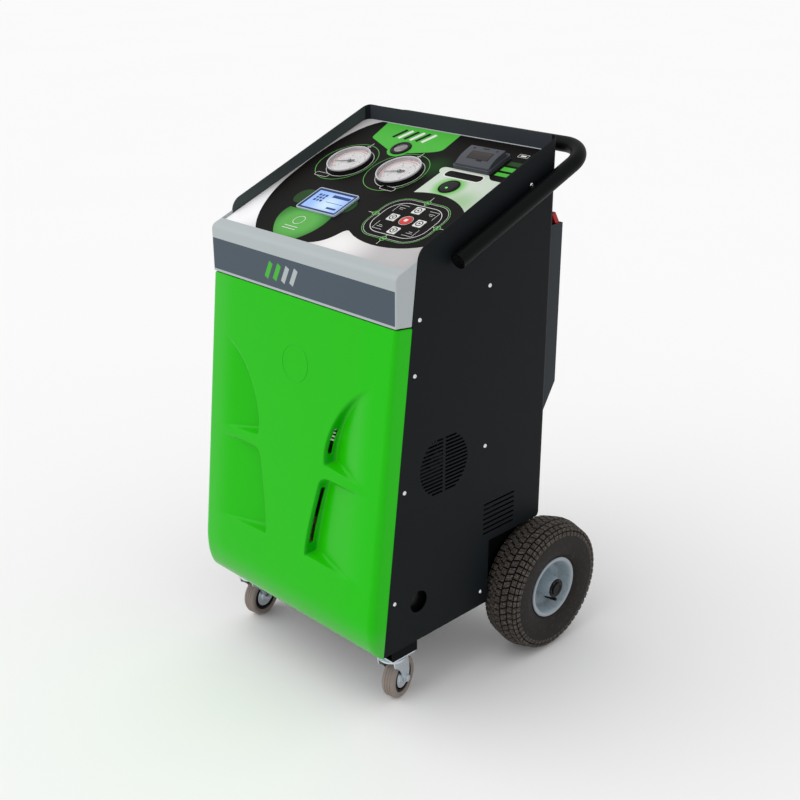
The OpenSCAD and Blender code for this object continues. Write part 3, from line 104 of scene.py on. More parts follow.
# Frames of the leaning front and of the sloping panel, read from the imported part
side_low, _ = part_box("side_panel_right")
lean = math.radians(LEAN)
X_AXIS = Vector((1, 0, 0))
FRONT_AXES = (X_AXIS, Vector((0, math.cos(lean), -math.sin(lean))),
              Vector((0, math.sin(lean), math.cos(lean))))
FRONT_AT = Vector((0, side_low.y, side_low.z))
PANEL_N = -Vector(joints["up_key_press"]["axis"]).normalized()
PANEL_AXES = (X_AXIS, PANEL_N.cross(X_AXIS), PANEL_N)
needle_at = Vector(joints["high_pressure_needle_turn"]["pos_m"])
PANEL_AT = (needle_at - PANEL_AXES[0] * GAUGE_XS[1] * MM - PANEL_AXES[1] * GAUGE_V * MM
            - PANEL_N * NEEDLE_H * MM)


def basis(at, axes):
    """Matrix that takes millimetres in a local frame to metres in the part's frame."""
    m = Matrix.Identity(4)
    for column, axis in enumerate(axes):
        for row in range(3):
            m[row][column] = axis[row] * MM
    m.translation = at
    return m


def moved(x=0, y=0, z=0):
    return Matrix.Translation((x, y, z))


def turned(degrees, axis):
    return Matrix.Rotation(math.radians(degrees), 4, axis)


def upright(x):
    """Turn of an outline into depth and height, with its thickness running along x from here."""
    return Matrix(((0, 0, 1, x), (1, 0, 0, 0), (0, 1, 0, 0), (0, 0, 0, 1)))


def on_panel(x=0, v=0, h=0, turn=0):
    return basis(PANEL_AT, PANEL_AXES) @ (moved(x, v, h) @ turned(turn, "Z"))


def on_front(x=0, y=0, s=0):
    return basis(FRONT_AT, FRONT_AXES) @ moved(x, y, s)


def plain(x=0, y=0, z=0):
    """Frame along the part's own axes, with its origin in millimetres."""
    axes = (X_AXIS, Vector((0, 1, 0)), Vector((0, 0, 1)))
    return basis(Vector((x, y, z)) * MM, axes)


def along(at, axis):
    """Frame with its z along the given axis, its x level, and its origin in metres."""
    z = Vector(axis).normalized()
    x = Vector((0, 0, 1)).cross(z).normalized()
    return basis(Vector(at), (x, z.cross(x), z))


# Outlines as lists of points
def circle(cx, cy, r, n=64, start=0.0, end=360.0):
    steps = n if end - start >= 360 else n + 1
    turn = [math.radians(start + (end - start) * i / n) for i in range(steps)]
    return [(cx + r * math.cos(a), cy + r * math.sin(a)) for a in turn]


def rounded(cx, cy, w, h, r, n=6):
    points = []
    for i, (sx, sy) in enumerate(((1, 1), (-1, 1), (-1, -1), (1, -1))):
        points += circle(cx + sx * (w / 2 - r), cy + sy * (h / 2 - r), r, n, 90 * i, 90 * i + 90)
    return points


def bezier(a, b, c, d, n=12):
    points = []
    for i in range(n + 1):
        t = i / n
        k = ((1 - t) ** 3, 3 * t * (1 - t) ** 2, 3 * t * t * (1 - t), t ** 3)
        points.append(tuple(sum(w * p[j] for w, p in zip(k, (a, b, c, d))) for j in (0, 1)))
    return points


def sector(r0, r1, start, end, n=48):
    return circle(0, 0, r1, n, start, end) + circle(0, 0, r0, n, start, end)[::-1]


def line(ax, ay, bx, by, width):
    """Outline of a straight line of the given width."""
    long = math.hypot(bx - ax, by - ay)
    px, py = -(by - ay) / long * width / 2, (bx - ax) / long * width / 2
    return [(ax + px, ay + py), (bx + px, by + py), (bx - px, by - py), (ax - px, ay - py)]


def ring(cx, cy, r, width, n=96):
    return [circle(cx, cy, r + width / 2, n), circle(cx, cy, r - width / 2, n)]


def band(cx, cy, w, h, r, width):
    """Rounded frame of the given line width."""
    return [rounded(cx, cy, w, h, r, 14), rounded(cx, cy, w - 2 * width, h - 2 * width, r - width, 14)]


# Meshes, each placed in the part's frame
AXIS_R = 1e-4
JOIN = 1e-6
SHARP = 0.01
PRINT_EDGE = 0.005
FIGURE_T = 0.05
MARK_T = 0.06


def curve_mesh(curve, place):
    """Mesh of a curve, which is then dropped."""
    holder = bpy.data.objects.new("outline", curve)
    mesh = bpy.data.meshes.new_from_object(holder)
    mesh.materials.clear()
    bpy.data.objects.remove(holder)
    bpy.data.curves.remove(curve)
    mesh.transform(place)
    return mesh


def flat(loops, thick, place, edge=0.2, steps=2):
    """Flat solid with rounded edges: outer and inner outlines, from z 0 up to its thickness."""
    curve = bpy.data.curves.new("outline", "CURVE")
    curve.dimensions = "2D"
    curve.fill_mode = "BOTH"
    for loop in loops:
        spline = curve.splines.new("POLY")
        spline.points.add(len(loop) - 1)
        for point, (x, y) in zip(spline.points, loop):
            point.co = (x, y, 0, 1)
        spline.use_cyclic_u = True
    curve.extrude = thick / 2 - edge
    curve.bevel_depth = edge
    curve.bevel_resolution = steps
    curve.offset = -edge
    return curve_mesh(curve, place @ moved(0, 0, thick / 2))


def printed(loops, thick, place):
    """Thin layer of ink, as outer and inner outlines."""
    return flat(loops, thick, place, PRINT_EDGE, 0)


def lettering(text, size, place):
    """Flat mesh of plain figures, centred on the local origin."""
    curve = bpy.data.curves.new("figures", "FONT")
    curve.body = text
    curve.size = size
    curve.align_x = "CENTER"
    curve.align_y = "CENTER"
    curve.extrude = FIGURE_T
    return curve_mesh(curve, place)


def grid(points, closed=False, capped=False):
    """Mesh over rows of points in metres. A closed grid joins its last column to its first."""
    rows, columns = len(points), len(points[0])
    verts = [p for row in points for p in row]
    faces = []
    for i in range(rows - 1):
        for j in range(columns if closed else columns - 1):
            k = (j + 1) % columns
            below, above = i * columns, (i + 1) * columns
            faces.append((below + j, below + k, above + k, above + j))
    if capped:
        faces.append(tuple(reversed(range(columns))))
        faces.append(tuple(range((rows - 1) * columns, rows * columns)))
    mesh = bpy.data.meshes.new("grid")
    mesh.from_pydata(verts, [], faces)
    return mesh


def lathe(profile, place, steps=72):
    """Solid of revolution about the local z, from radius and height pairs."""
    turn = [2 * math.pi * i / steps for i in range(steps)]
    rows = []
    for r, z in profile:
        r = max(r, AXIS_R)
        rows.append([place @ Vector((r * math.cos(a), r * math.sin(a), z)) for a in turn])
    mesh = grid(rows, closed=True)
    work = bmesh.new()
    work.from_mesh(mesh)
    bmesh.ops.remove_doubles(work, verts=work.verts, dist=JOIN)
    bmesh.ops.recalc_face_normals(work, faces=work.faces)
    work.to_mesh(mesh)
    work.free()
    return mesh


def smooth(mesh, crease):
    """Smooth shading, with edges kept where faces meet at more than the crease."""
    mesh.polygons.foreach_set("use_smooth", [True] * len(mesh.polygons))
    mesh.set_sharp_from_angle(angle=math.radians(crease))


def piece(name, meshes, material, body="cabinet", stands_for=(), crease=35):
    """One named object of the given meshes, riding on a body."""
    work = bmesh.new()
    for mesh in meshes:
        work.from_mesh(mesh)
        bpy.data.meshes.remove(mesh)
    joined = bpy.data.meshes.new(name)
    work.to_mesh(joined)
    work.free()
    smooth(joined, crease)
    joined.materials.append(material)
    obj = bpy.data.objects.new(name, joined)
    bpy.context.scene.collection.objects.link(obj)
    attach(obj, body)
    if stands_for:
        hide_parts(*stands_for)
    return obj


def cut(obj, mesh):
    """Takes the closed mesh out of the piece."""
    tool = bpy.data.objects.new("tool", mesh)
    bpy.context.scene.collection.objects.link(tool)
    work = obj.modifiers.new("cut", "BOOLEAN")
    work.object = tool
    work.operation = "DIFFERENCE"
    work.solver = "EXACT"
    settle(obj)
    bpy.data.objects.remove(tool)
    bpy.data.meshes.remove(mesh)


def settle(obj):
    """Applies the piece's modifiers to its mesh."""
    bpy.context.view_layer.update()
    graph = bpy.context.evaluated_depsgraph_get()
    mesh = bpy.data.meshes.new_from_object(obj.evaluated_get(graph))
    obj.modifiers.clear()
    obj.data = mesh


# Building blocks of the finishes
GLOSS_SPREAD = 0.06
GLOSS_LEAST = 0.02
RELIEF = 0.0006
DUST_FROM = 0.5
DUST_FULL = 0.75
WALL_SHADE_FULL = 0.9
WALL_SHADE_EDGE = 12


def srgb(r, g, b):
    """Colour as it shows on a screen, from 0 to 255, as the shader's own numbers."""
    return [((c / 255 + 0.055) / 1.055) ** 2.4 if c > 10 else c / 255 / 12.92 for c in (r, g, b)]


def shader(mat):
    return mat.node_tree.nodes["Principled BSDF"]


def tune(mat, values):
    """Sets inputs of the finish's shader."""
    for key, value in values.items():
        shader(mat).inputs[key].default_value = value
    return mat


def add(tree, kind, values=None, links=None, **settings):
    """New shader node with its settings, and the values and links of its inputs."""
    node = tree.nodes.new("ShaderNode" + kind)
    for key, value in settings.items():
        setattr(node, key, value)
    for key, value in (values or {}).items():
        node.inputs[key].default_value = value
    for key, source in (links or {}).items():
        tree.links.new(source, node.inputs[key])
    return node


def blend(tree, below, colour, amount):
    """Colour laid over another one by an amount."""
    mix = add(tree, "Mix", {"B": list(colour) + [1]}, {"Factor": amount, "A": below}, data_type="RGBA")
    return mix.outputs["Result"]


def soft_step(tree, source, low, high, start, end):
    """Value that goes smoothly from start to end while its source goes from low to high."""
    values = {"From Min": low, "From Max": high, "To Min": start, "To Max": end}
    node = add(tree, "MapRange", values, {"Value": source}, interpolation_type="SMOOTHSTEP")
    return node.outputs["Result"]


def surface(name, colour, rough, metal=0.0, shine=0.3, spread=0.06, patch=9.0, grain=900.0, bump=0.06,
            stretch=(1, 1, 1), edge=0.0, dust=None, dust_amount=0.0):
    """Finish with soft patches of colour, uneven gloss and a fine grain, both in cells per metre.
    Edge rounds the shading of sharp sheet edges, in millimetres, and dust lies in the patches."""
    mat = bpy.data.materials.new(name)
    mat.use_nodes = True
    tree = mat.node_tree
    coords = add(tree, "TexCoord")
    mapping = add(tree, "Mapping", {"Scale": stretch}, {"Vector": coords.outputs["Object"]})

    def noise(scale, detail):
        values = {"Scale": scale, "Detail": detail}
        return add(tree, "TexNoise", values, {"Vector": mapping.outputs["Vector"]}).outputs["Fac"]

    patches = noise(patch, 5.0)
    dark = [c * (1 - spread) for c in colour] + [1]
    pale = [min(1, c * (1 + spread)) for c in colour] + [1]
    mix = add(tree, "Mix", {"A": dark, "B": pale}, {"Factor": patches}, data_type="RGBA")
    paint = mix.outputs["Result"]
    if dust:
        reach = {"From Min": DUST_FROM, "From Max": DUST_FULL, "To Max": dust_amount}
        amount = add(tree, "MapRange", reach, {"Value": noise(patch * 6, 8.0)})
        paint = blend(tree, paint, dust, amount.outputs["Result"])
    reach = {"To Min": max(GLOSS_LEAST, rough - GLOSS_SPREAD), "To Max": rough + GLOSS_SPREAD}
    gloss = add(tree, "MapRange", reach, {"Value": patches})
    relief = add(tree, "Bump", {"Strength": bump, "Distance": RELIEF}, {"Height": noise(grain, 2.0)})
    if edge:
        soft = add(tree, "Bevel", {"Radius": edge * MM})
        tree.links.new(soft.outputs["Normal"], relief.inputs["Normal"])
    inputs = shader(mat).inputs
    tree.links.new(paint, inputs["Base Color"])
    tree.links.new(gloss.outputs["Result"], inputs["Roughness"])
    tree.links.new(relief.outputs["Normal"], inputs["Normal"])
    return tune(mat, {"Metallic": metal, "Specular IOR Level": shine})


def lay_over(mat, colour, amount):
    """Lays a second colour over the finish's own by an amount."""
    base = shader(mat).inputs["Base Color"]
    before = base.links[0].from_socket
    mat.node_tree.links.new(blend(mat.node_tree, before, colour, amount), base)


def fade(mat, colour, at, near, far, ways=(1, 1, 1)):
    """Second colour in a finish, full within near of a point and gone beyond far, in millimetres.
    Ways picks the axes that count."""
    tree = mat.node_tree
    coords = add(tree, "TexCoord")
    picked = add(tree, "VectorMath", {1: ways}, {0: coords.outputs["Object"]}, operation="MULTIPLY")
    spot = [a * w for a, w in zip(at, ways)]
    reach = add(tree, "VectorMath", {1: spot}, {0: picked.outputs["Vector"]}, operation="DISTANCE")
    lay_over(mat, colour, soft_step(tree, reach.outputs["Value"], near * MM, far * MM, 1.0, 0.0))


def paint_wall_shade(mat, colour, steep, reach):
    """Painted shade: a second colour on the faces that turn to the sides by at least steep, within reach of
    the middle.
    """
    tree = mat.node_tree

    def sideways(source):
        split = add(tree, "SeparateXYZ", links={"Vector": source})
        return add(tree, "Math", links={0: split.outputs["X"]}, operation="ABSOLUTE").outputs["Value"]

    lie = sideways(add(tree, "NewGeometry").outputs["Normal"])
    away = sideways(add(tree, "TexCoord").outputs["Object"])
    wall = soft_step(tree, lie, steep, WALL_SHADE_FULL, 0.0, 1.0)
    inside = soft_step(tree, away, reach * MM, (reach + WALL_SHADE_EDGE) * MM, 1.0, 0.0)
    both = add(tree, "Math", links={0: wall, 1: inside}, operation="MULTIPLY")
    lay_over(mat, colour, both.outputs["Value"])


def lit(name, colour, strength):
    """Surface that glows a little, such as a display."""
    mat = surface(name, colour, 0.3, spread=0.12, patch=25.0, bump=0.01)
    return tune(mat, {"Emission Color": list(colour) + [1], "Emission Strength": strength})


# Families of finishes that share most of their look
coated = partial(surface, rough=0.5, shine=0.07, spread=0.07, patch=6, grain=1400, bump=0.1, edge=0.6)
filmed = partial(surface, rough=0.42, shine=0.1, spread=0.08, patch=16, grain=2600, bump=0.04)
inked = partial(surface, rough=0.5, shine=0.1, spread=0.1, patch=60, grain=2600, bump=0.03)
key_plastic = partial(surface, rough=0.4, patch=50, grain=2000, bump=0.03)
display_plastic = partial(surface, rough=0.35, spread=0.06, patch=30, grain=1800, bump=0.02)
rubbery = partial(surface, spread=0.2, patch=40, grain=1100, bump=0.2)
metallic = partial(surface, rough=0.3, metal=1, grain=1500, bump=0.08)
soft_edged = partial(surface, edge=0.6, spread=0.08)

# Finishes
GREEN = surface("green_gloss", srgb(32, 185, 6), 0.2, shine=0.14, spread=0.03, patch=4, grain=260, bump=0.03)
SILVER = surface("silver_plastic", srgb(172, 179, 181), 0.42, spread=0.03, grain=1500, bump=0.04)
SLATE = surface("slate_film", srgb(70, 82, 93), 0.42, shine=0.2, spread=0.03, grain=2200, bump=0.03)
SHEET_BLACK = coated("powder_coat", srgb(20, 24, 27))
# Painted light: a lighter copy of the black powder coat for the rear panel and its pocket, as if lit from
# the front
SHEET_PAINTED_LIGHT = coated("powder_coat_inner", srgb(48, 52, 57), shine=0.12)
# Black powder coat of the left panel, with painted light on its inside face
SHEET_LEFT_LIT_INSIDE = coated("powder_coat_left", srgb(20, 24, 27))
# Black chassis paint, darkened further as painted shade for the recessed caster channel and the wheel wells
CHASSIS_SHADED = coated("chassis_paint", srgb(10, 11, 12), rough=0.55, shine=0.06, spread=0.1, patch=8, grain=1200)
TUBE_BLACK = surface("black_enamel", srgb(10, 12, 13), 0.42, shine=0.07, spread=0.05, grain=500, bump=0.03)
PANEL_ALLOY = surface("panel_alloy", (0.6, 0.61, 0.62), 0.35, metal=1, spread=0.05, stretch=(1, 30, 30),
                      bump=0.05)
FILM_SILVER = filmed("film_silver", srgb(184, 181, 182), rough=0.4, shine=0.2, spread=0.1, patch=6,
                     stretch=(1, 2, 2), grain=2500, bump=0.02)
FILM_BLACK = filmed("film_black", srgb(16, 14, 13), rough=0.45, shine=0.05, patch=14, bump=0.05)
FILM_GREEN = filmed("film_green", srgb(74, 178, 60))
FILM_DARK = filmed("film_dark_green", srgb(28, 66, 24), spread=0.2, patch=22)
FILM_TAB = filmed("film_tab", srgb(48, 122, 40))
FILM_PALE = filmed("film_pale", srgb(196, 208, 193), rough=0.4, shine=0.12, spread=0.06, patch=12, grain=700,
                   bump=0.08)
INK_WHITE = inked("ink_white", srgb(222, 222, 218), spread=0.03)
INK_GREEN = inked("ink_green", srgb(104, 186, 92), patch=40)
NEEDLE_GREY = inked("needle_grey", srgb(62, 62, 66))
INK_BLACK = inked("ink_black", srgb(20, 20, 20))
INK_PINK = inked("ink_pink", srgb(212, 158, 158))
DIAL_WHITE = inked("dial_white", srgb(214, 211, 211), spread=0.02, grain=2000, bump=0.02)
KEY_WHITE = key_plastic("key_white", srgb(222, 222, 220), spread=0.03)
KEY_RED = key_plastic("key_red", srgb(200, 52, 50), spread=0.05)
BLACK_PLASTIC = surface("black_plastic", srgb(17, 17, 18), 0.4, shine=0.15, patch=20, grain=1500, edge=0.4)
DARK_PLASTIC = surface("printer_plastic", srgb(66, 69, 76), 0.45, shine=0.25, spread=0.05, patch=20,
                       grain=1800, bump=0.1)
WINDOW = surface("smoked_window", srgb(44, 37, 35), 0.25, shine=0.25, spread=0.08, patch=30, grain=1200,
                 bump=0.02)
CLEAR = tune(surface("clear_lens", (0.95, 0.96, 0.96), 0.05, spread=0.02, patch=30, bump=0.01),
             {"Transmission Weight": 1.0, "IOR": 1.3})
BEZEL = surface("bezel_grey", srgb(172, 167, 171), 0.25, shine=0.4, patch=40, grain=1200, bump=0.02)
# Painted highlight: a pale ring along the top of each gauge bezel
BEZEL_HIGHLIGHT = surface("bezel_painted_highlight", srgb(222, 220, 224), 0.2, shine=0.4, spread=0.03, patch=60, grain=1500,
                     bump=0.02)
FRAME_BLUE = display_plastic("display_frame", srgb(170, 186, 204), bump=0.04)
NAVY = display_plastic("display_navy", srgb(30, 46, 92), shine=0.15, spread=0.08)
SCREEN = lit("display_lit", srgb(138, 174, 230), 0.17)
SCREEN_INK = display_plastic("display_ink", srgb(44, 66, 132), shine=0.1, patch=40)
SIGHT = surface("sight_window", srgb(150, 146, 150), 0.12, metal=0.6, spread=0.3, patch=90, grain=600,
                bump=0.05)
LAMP_GREEN = lit("lamp_green", srgb(90, 220, 80), 0.3)
# Painted highlight: a pale band on the outer lip of each rim
RIM_HIGHLIGHT = surface("rim_lip_highlight", srgb(152, 162, 169), 0.3, patch=40, bump=0.05)
RIM_GREY = surface("rim_paint", srgb(138, 152, 161), 0.34, spread=0.1, patch=24, bump=0.08, edge=0.5,
                   dust=srgb(84, 80, 76), dust_amount=0.4)
RUBBER = rubbery("tyre_rubber", srgb(36, 32, 31), 0.6, shine=0.14, patch=26, dust=srgb(78, 72, 68),
                 dust_amount=0.25)
RUBBER_WORN = rubbery("tread_worn", srgb(64, 59, 55), 0.75, shine=0.16, spread=0.35, patch=60, grain=900,
                      bump=0.4, dust=srgb(150, 142, 133), dust_amount=0.6)
# Painted shade for the floors of the tread's grooves and cuts
RUBBER_GROOVE_SHADE = rubbery("tread_deep", srgb(20, 18, 17), 0.9, shine=0.05)
TREAD_GREY = rubbery("caster_rubber", srgb(140, 129, 122), 0.62, shine=0.2, spread=0.08, grain=1600,
                     bump=0.15)
ZINC = metallic("zinc_plate", (0.66, 0.72, 0.77), spread=0.12, patch=60, edge=0.5)
BRIGHT = metallic("bright_steel", (0.78, 0.79, 0.8), rough=0.22, spread=0.08, patch=80, bump=0.05)
BRASS = metallic("brass", (0.72, 0.52, 0.22), spread=0.1, patch=50, bump=0.06, edge=0.4)
COPPER = metallic("valve_alloy", (0.7, 0.55, 0.36), rough=0.35, spread=0.12, patch=40, edge=0.5)
ALLOY = metallic("cast_alloy", (0.5, 0.51, 0.53), rough=0.45, metal=0.8, spread=0.1, patch=30, grain=900,
                 bump=0.15, edge=0.6)
DARK_PAINT_AND_SHADE = soft_edged("compressor_paint", srgb(28, 28, 30), 0.35, spread=0.1, patch=20, grain=700,
                        bump=0.1)
TANK_GREY = soft_edged("tank_paint", srgb(140, 146, 150), 0.38, spread=0.06, patch=12)
CIRCUIT = soft_edged("circuit_board", srgb(24, 92, 52), 0.4, spread=0.2, patch=120, grain=1500, bump=0.1,
                     edge=0.3)
BOTTLE = soft_edged("oil_bottle", srgb(226, 214, 170), 0.3, patch=30, grain=800, bump=0.03)
PAPER = surface("paper", srgb(240, 238, 230), 0.7, spread=0.03, patch=40, grain=1600, bump=0.05)
FOLDER_RED = soft_edged("red_folder", srgb(160, 16, 18), 0.4, patch=18, grain=1200, bump=0.1)

# Soft second colours, each round a point in metres, with its reach in millimetres. Those on the cover, the
# left panel and the silver film are painted light and shade.
ACROSS = (1, 0, 0)
UP = (0, 0, 1)
# Painted shade: the cover turns a deeper, more saturated green towards its right edge, where it reflects
# less light
fade(GREEN, srgb(26, 188, 0), (0.2, 0, 0), 4, 60, ACROSS)
# Painted sheen: the cover grows lighter and paler towards its left edge
fade(GREEN, srgb(58, 186, 48), (-HALF * MM, 0, 0), 4, 70, ACROSS)
# Painted reflection: the chin is lighter and greyer towards the bottom, as if it reflected the floor
fade(GREEN, srgb(80, 176, 72), (0, 0, 0.112), 12, 92, UP)
# Painted shade: the side walls of the recesses are darkened to a deep green
paint_wall_shade(GREEN, srgb(2, 158, 0), 0.25, 150)
# Painted light: the inside face of the left panel is painted a lighter grey, as if lit
fade(SHEET_LEFT_LIT_INSIDE, srgb(66, 74, 74), ((SHEET - HALF) * MM, 0, 0), 0.2, 1.2, ACROSS)
# Painted highlight: a bright patch on the silver film near its front middle
fade(FILM_SILVER, srgb(236, 233, 233), on_panel(52, -12).translation, 8, 105)
# Painted highlight: the silver film grows brighter towards its left end
fade(FILM_SILVER, srgb(246, 246, 248), on_panel(-222, 10).translation, 24, 130)
fade(FILM_BLACK, srgb(22, 58, 20), on_panel(46, 250).translation, 2, 46)
fade(FILM_TAB, srgb(90, 170, 77), on_panel(-76, 22).translation, 28, 66)
fade(FILM_PALE, srgb(158, 192, 150), on_panel(176, 168).translation, 6, 50)
fade(FILM_PALE, srgb(120, 190, 104), on_panel(KEYS_X, PRINT_V).translation, 20, 40)
fade(SCREEN, srgb(198, 220, 246), on_panel(GROUP_X + 8, DISPLAY_V - 8).translation, 2, 44)

# Finishes of the nodes that are shown as they were packed
NODE_FINISH = {
    SHEET_BLACK: ["side_panel_right"],
    SHEET_LEFT_LIT_INSIDE: ["side_panel_left"],
    SHEET_PAINTED_LIGHT: ["rear_panel", "rear_pocket"],
    CHASSIS_SHADED: ["chassis_base"],
    BRIGHT: ["axle"],
    BLACK_PLASTIC: ["handle_end_plugs", "power_inlet", "fan_shroud", "fan"],
    PANEL_ALLOY: ["control_panel"],
    CIRCUIT: ["keypad_board", "control_board"],
    KEY_RED: ["main_switch"],
    DARK_PLASTIC: ["printer_body"],
    PAPER: ["paper_roll"],
    TUBE_BLACK: ["handle_tube"],
    FOLDER_RED: ["document_folder"],
    BRASS: ["service_ports"],
    # The compressor's own dark paint, and on the vacuum pump painted shade for the dark inside of the
    # cabinet
    DARK_PAINT_AND_SHADE: ["compressor", "vacuum_pump"],
    TANK_GREY: ["refrigerant_tank"],
    ALLOY: ["tank_scale", "condenser_coil", "filter_drier"],
    COPPER: ["valve_manifold"],
    BOTTLE: ["oil_bottles"],
}
for finish, names in NODE_FINISH.items():
    for name in names:
        nodes[name].data.materials.clear()
        nodes[name].data.materials.append(finish)


# Stage and camera
FLOOR_SIZE = 60
FLOOR_SHADE = 0.92
SKY_LEVEL = 0.78
SUN_LEVEL = 1.1
SUN_FROM = (-0.7, -1.1, 1.5)
SUN_ANGLE = 70
CAMERA_AT = (1.54733, -1.50737, 1.36268)
CAMERA_BACK = (0.65788, -0.65025, 0.37996)
CAMERA_LENS = 55.73
CAMERA_SENSOR = 36.0


def aimed(data, back):
    """Object of a light or a camera that looks the opposite way to back."""
    holder = bpy.data.objects.new(data.name, data)
    bpy.context.scene.collection.objects.link(holder)
    holder.rotation_mode = "QUATERNION"
    holder.rotation_quaternion = (-Vector(back)).to_track_quat("-Z", "Y")
    return holder


def stage():
    bpy.ops.mesh.primitive_plane_add(size=FLOOR_SIZE, location=(0, 0, 0))
    floor = bpy.context.object
    floor.name = "floor"
    paint = surface("pale_floor", [FLOOR_SHADE] * 3, 0.9, shine=0.0, spread=0.01, patch=1, bump=0)
    floor.data.materials.append(paint)
    world = bpy.data.worlds.new("studio")
    world.use_nodes = True
    sky = world.node_tree.nodes["Background"]
    sky.inputs["Color"].default_value = (1, 1, 1, 1)
    sky.inputs["Strength"].default_value = SKY_LEVEL
    bpy.context.scene.world = world
    sun = bpy.data.lights.new("soft_sun", "SUN")
    sun.energy = SUN_LEVEL
    sun.angle = math.radians(SUN_ANGLE)
    aimed(sun, SUN_FROM)
    bpy.context.scene.view_settings.view_transform = "Standard"


def camera():
    data = bpy.data.cameras.new("camera")
    data.lens = CAMERA_LENS
    data.sensor_width = CAMERA_SENSOR
    eye = aimed(data, CAMERA_BACK)
    eye.location = CAMERA_AT
    bpy.context.scene.camera = eye


# Green front cover: a smooth shell with ramped recesses
RECESS_END = RECESS_OUT + 18
UPPER_IN = 89
LOWER_IN = 55
UPPER_RECESS = ([(RECESS_END, 487)] + bezier((RECESS_OUT, 478), (140, 455), (98, 405), (UPPER_IN, 345), 16)
                + bezier((UPPER_IN, 332), (UPPER_IN, 318), (93, 318), (103, 317), 6) + [(RECESS_END, 309)])
LOWER_RECESS = ([(RECESS_END, 295)] + bezier((104, 296), (90, 296), (83, 290), (80, 280), 6)
                + bezier((80, 280), (68, 230), (57, 180), (LOWER_IN, 150), 12)[1:]
                + bezier((LOWER_IN, 146), (LOWER_IN, 136), (LOWER_IN, 136), (67, 136), 6)
                + [(RECESS_END, 131)])
WALL_SLOPE = 2.6
FILLET = 5.0
FLAT_TO = 190
FLAT_HALF = HALF - COVER_R
TOP_IN = 2.2
TOP_ROUND = 3
FOOT = 0.01
CORNER_SHARE = 0.85
CORNER_STEPS = 10
SIDE_STEPS = (0.25, 0.6, 1.0)
COVER_CREASE = 50
RING_S = 478
RING_SECTION = [(32, -0.5), (32, 0.1), (32.5, 0.55), (33.2, 0.7), (33.9, 0.55), (34.4, 0.1), (34.4, -0.5),
                (32, -0.5)]

# Air slots, each from its lower to its upper end, and the pale fins across the upper ones
UPPER_SLOT = ((96, 338), (106, 388))
LOWER_SLOT = ((59, 160), (80, 274))
SLOT_FROM = 6.5
SLOT_DEEP = 8.5
SLOT_THROUGH = 26
FIN_OUT = -7
FIN_T = 3
FIN_W = 3.2
FIN_RISE = 5
FIN_SPOTS = (-1, 6, 13, 20)


def inside_distance(x, s, outline):
    """Distance from each point to the outline's walls, above zero inside it."""
    near = np.full(x.shape, 1e9)
    within = np.zeros(x.shape, bool)
    for (ax, ay), (bx, by) in zip(outline, outline[1:]):
        dx, dy = bx - ax, by - ay
        t = np.clip(((x - ax) * dx + (s - ay) * dy) / (dx ** 2 + dy ** 2 + 1e-9), 0, 1)
        near = np.minimum(near, np.hypot(x - ax - t * dx, s - ay - t * dy))
    for (ax, ay), (bx, by) in zip(outline, outline[1:] + outline[:1]):
        crosses = (ay > s) != (by > s)
        left = x < ax + (s - ay) * (bx - ax) / np.where(by == ay, 1e-9, by - ay)
        within ^= crosses & left
    return np.where(within, near, -near)


def soft_min(a, b, r):
    h = np.clip(0.5 + 0.5 * (b - a) / r, 0, 1)
    return b + (a - b) * h - r * h * (1 - h)


def recess_depth(x, s):
    """How far the cover's face is pressed in, in millimetres."""
    depth = np.zeros(x.shape)
    for outline, inner in ((UPPER_RECESS, UPPER_IN), (LOWER_RECESS, LOWER_IN)):
        wall = inside_distance(np.abs(x), s, outline) * WALL_SLOPE
        ramp = RECESS * (RECESS_OUT - np.abs(x)) / (RECESS_OUT - inner)
        pressed = soft_min(wall, ramp, FILLET * 2)
        depth = np.maximum(depth, -soft_min(-pressed, np.zeros(x.shape), FILLET))
    return depth


def spaced(*stretches):
    """Values along stretches of (start, end, step), without repeats."""
    values = []
    for start, end, step in stretches:
        count = max(1, round((end - start) / step))
        values += [start + (end - start) * i / count for i in range(count)]
    return values + [stretches[-1][1]]


def quarter(share):
    """Height of a quarter circle of radius 1, which is full from a share of 1 on."""
    return math.sqrt(max(0.0, 1 - (1 - min(1.0, share)) ** 2))


def cover_row(s, columns):
    """The cover's outside at height s, as x and depth from its left edge to its right one."""
    top_in = TOP_IN * (1 - quarter((COVER_H - s) / TOP_ROUND))
    ahead = max(2 * FOOT, PROUD * quarter(s / CHIN_H) + FOOT - top_in)
    share = min(1.0, max(0.0, (s - CHIN_H) / (COVER_H - CHIN_H)))
    r = min(COVER_R_LOW + (COVER_R_TOP - COVER_R_LOW) * share, ahead * CORNER_SHARE)
    half = HALF - top_in
    beyond = np.maximum(0, np.abs(columns) - FLAT_TO) * (half - r - FLAT_TO) / (FLAT_HALF - FLAT_TO)
    xs = np.sign(columns) * (np.minimum(np.abs(columns), FLAT_TO) + beyond)
    pressed = recess_depth(columns, np.full(len(columns), s))
    corner = [math.radians(90 * i / CORNER_STEPS) for i in range(1, CORNER_STEPS + 1)]
    right = [(half - r + r * math.sin(a), -ahead + r - r * math.cos(a)) for a in corner]
    right += [(half, (-ahead + r) * (1 - k)) for k in SIDE_STEPS]
    middle = [(x, -ahead + d) for x, d in zip(xs, pressed)]
    return [(-x, y) for x, y in reversed(right)] + middle + right


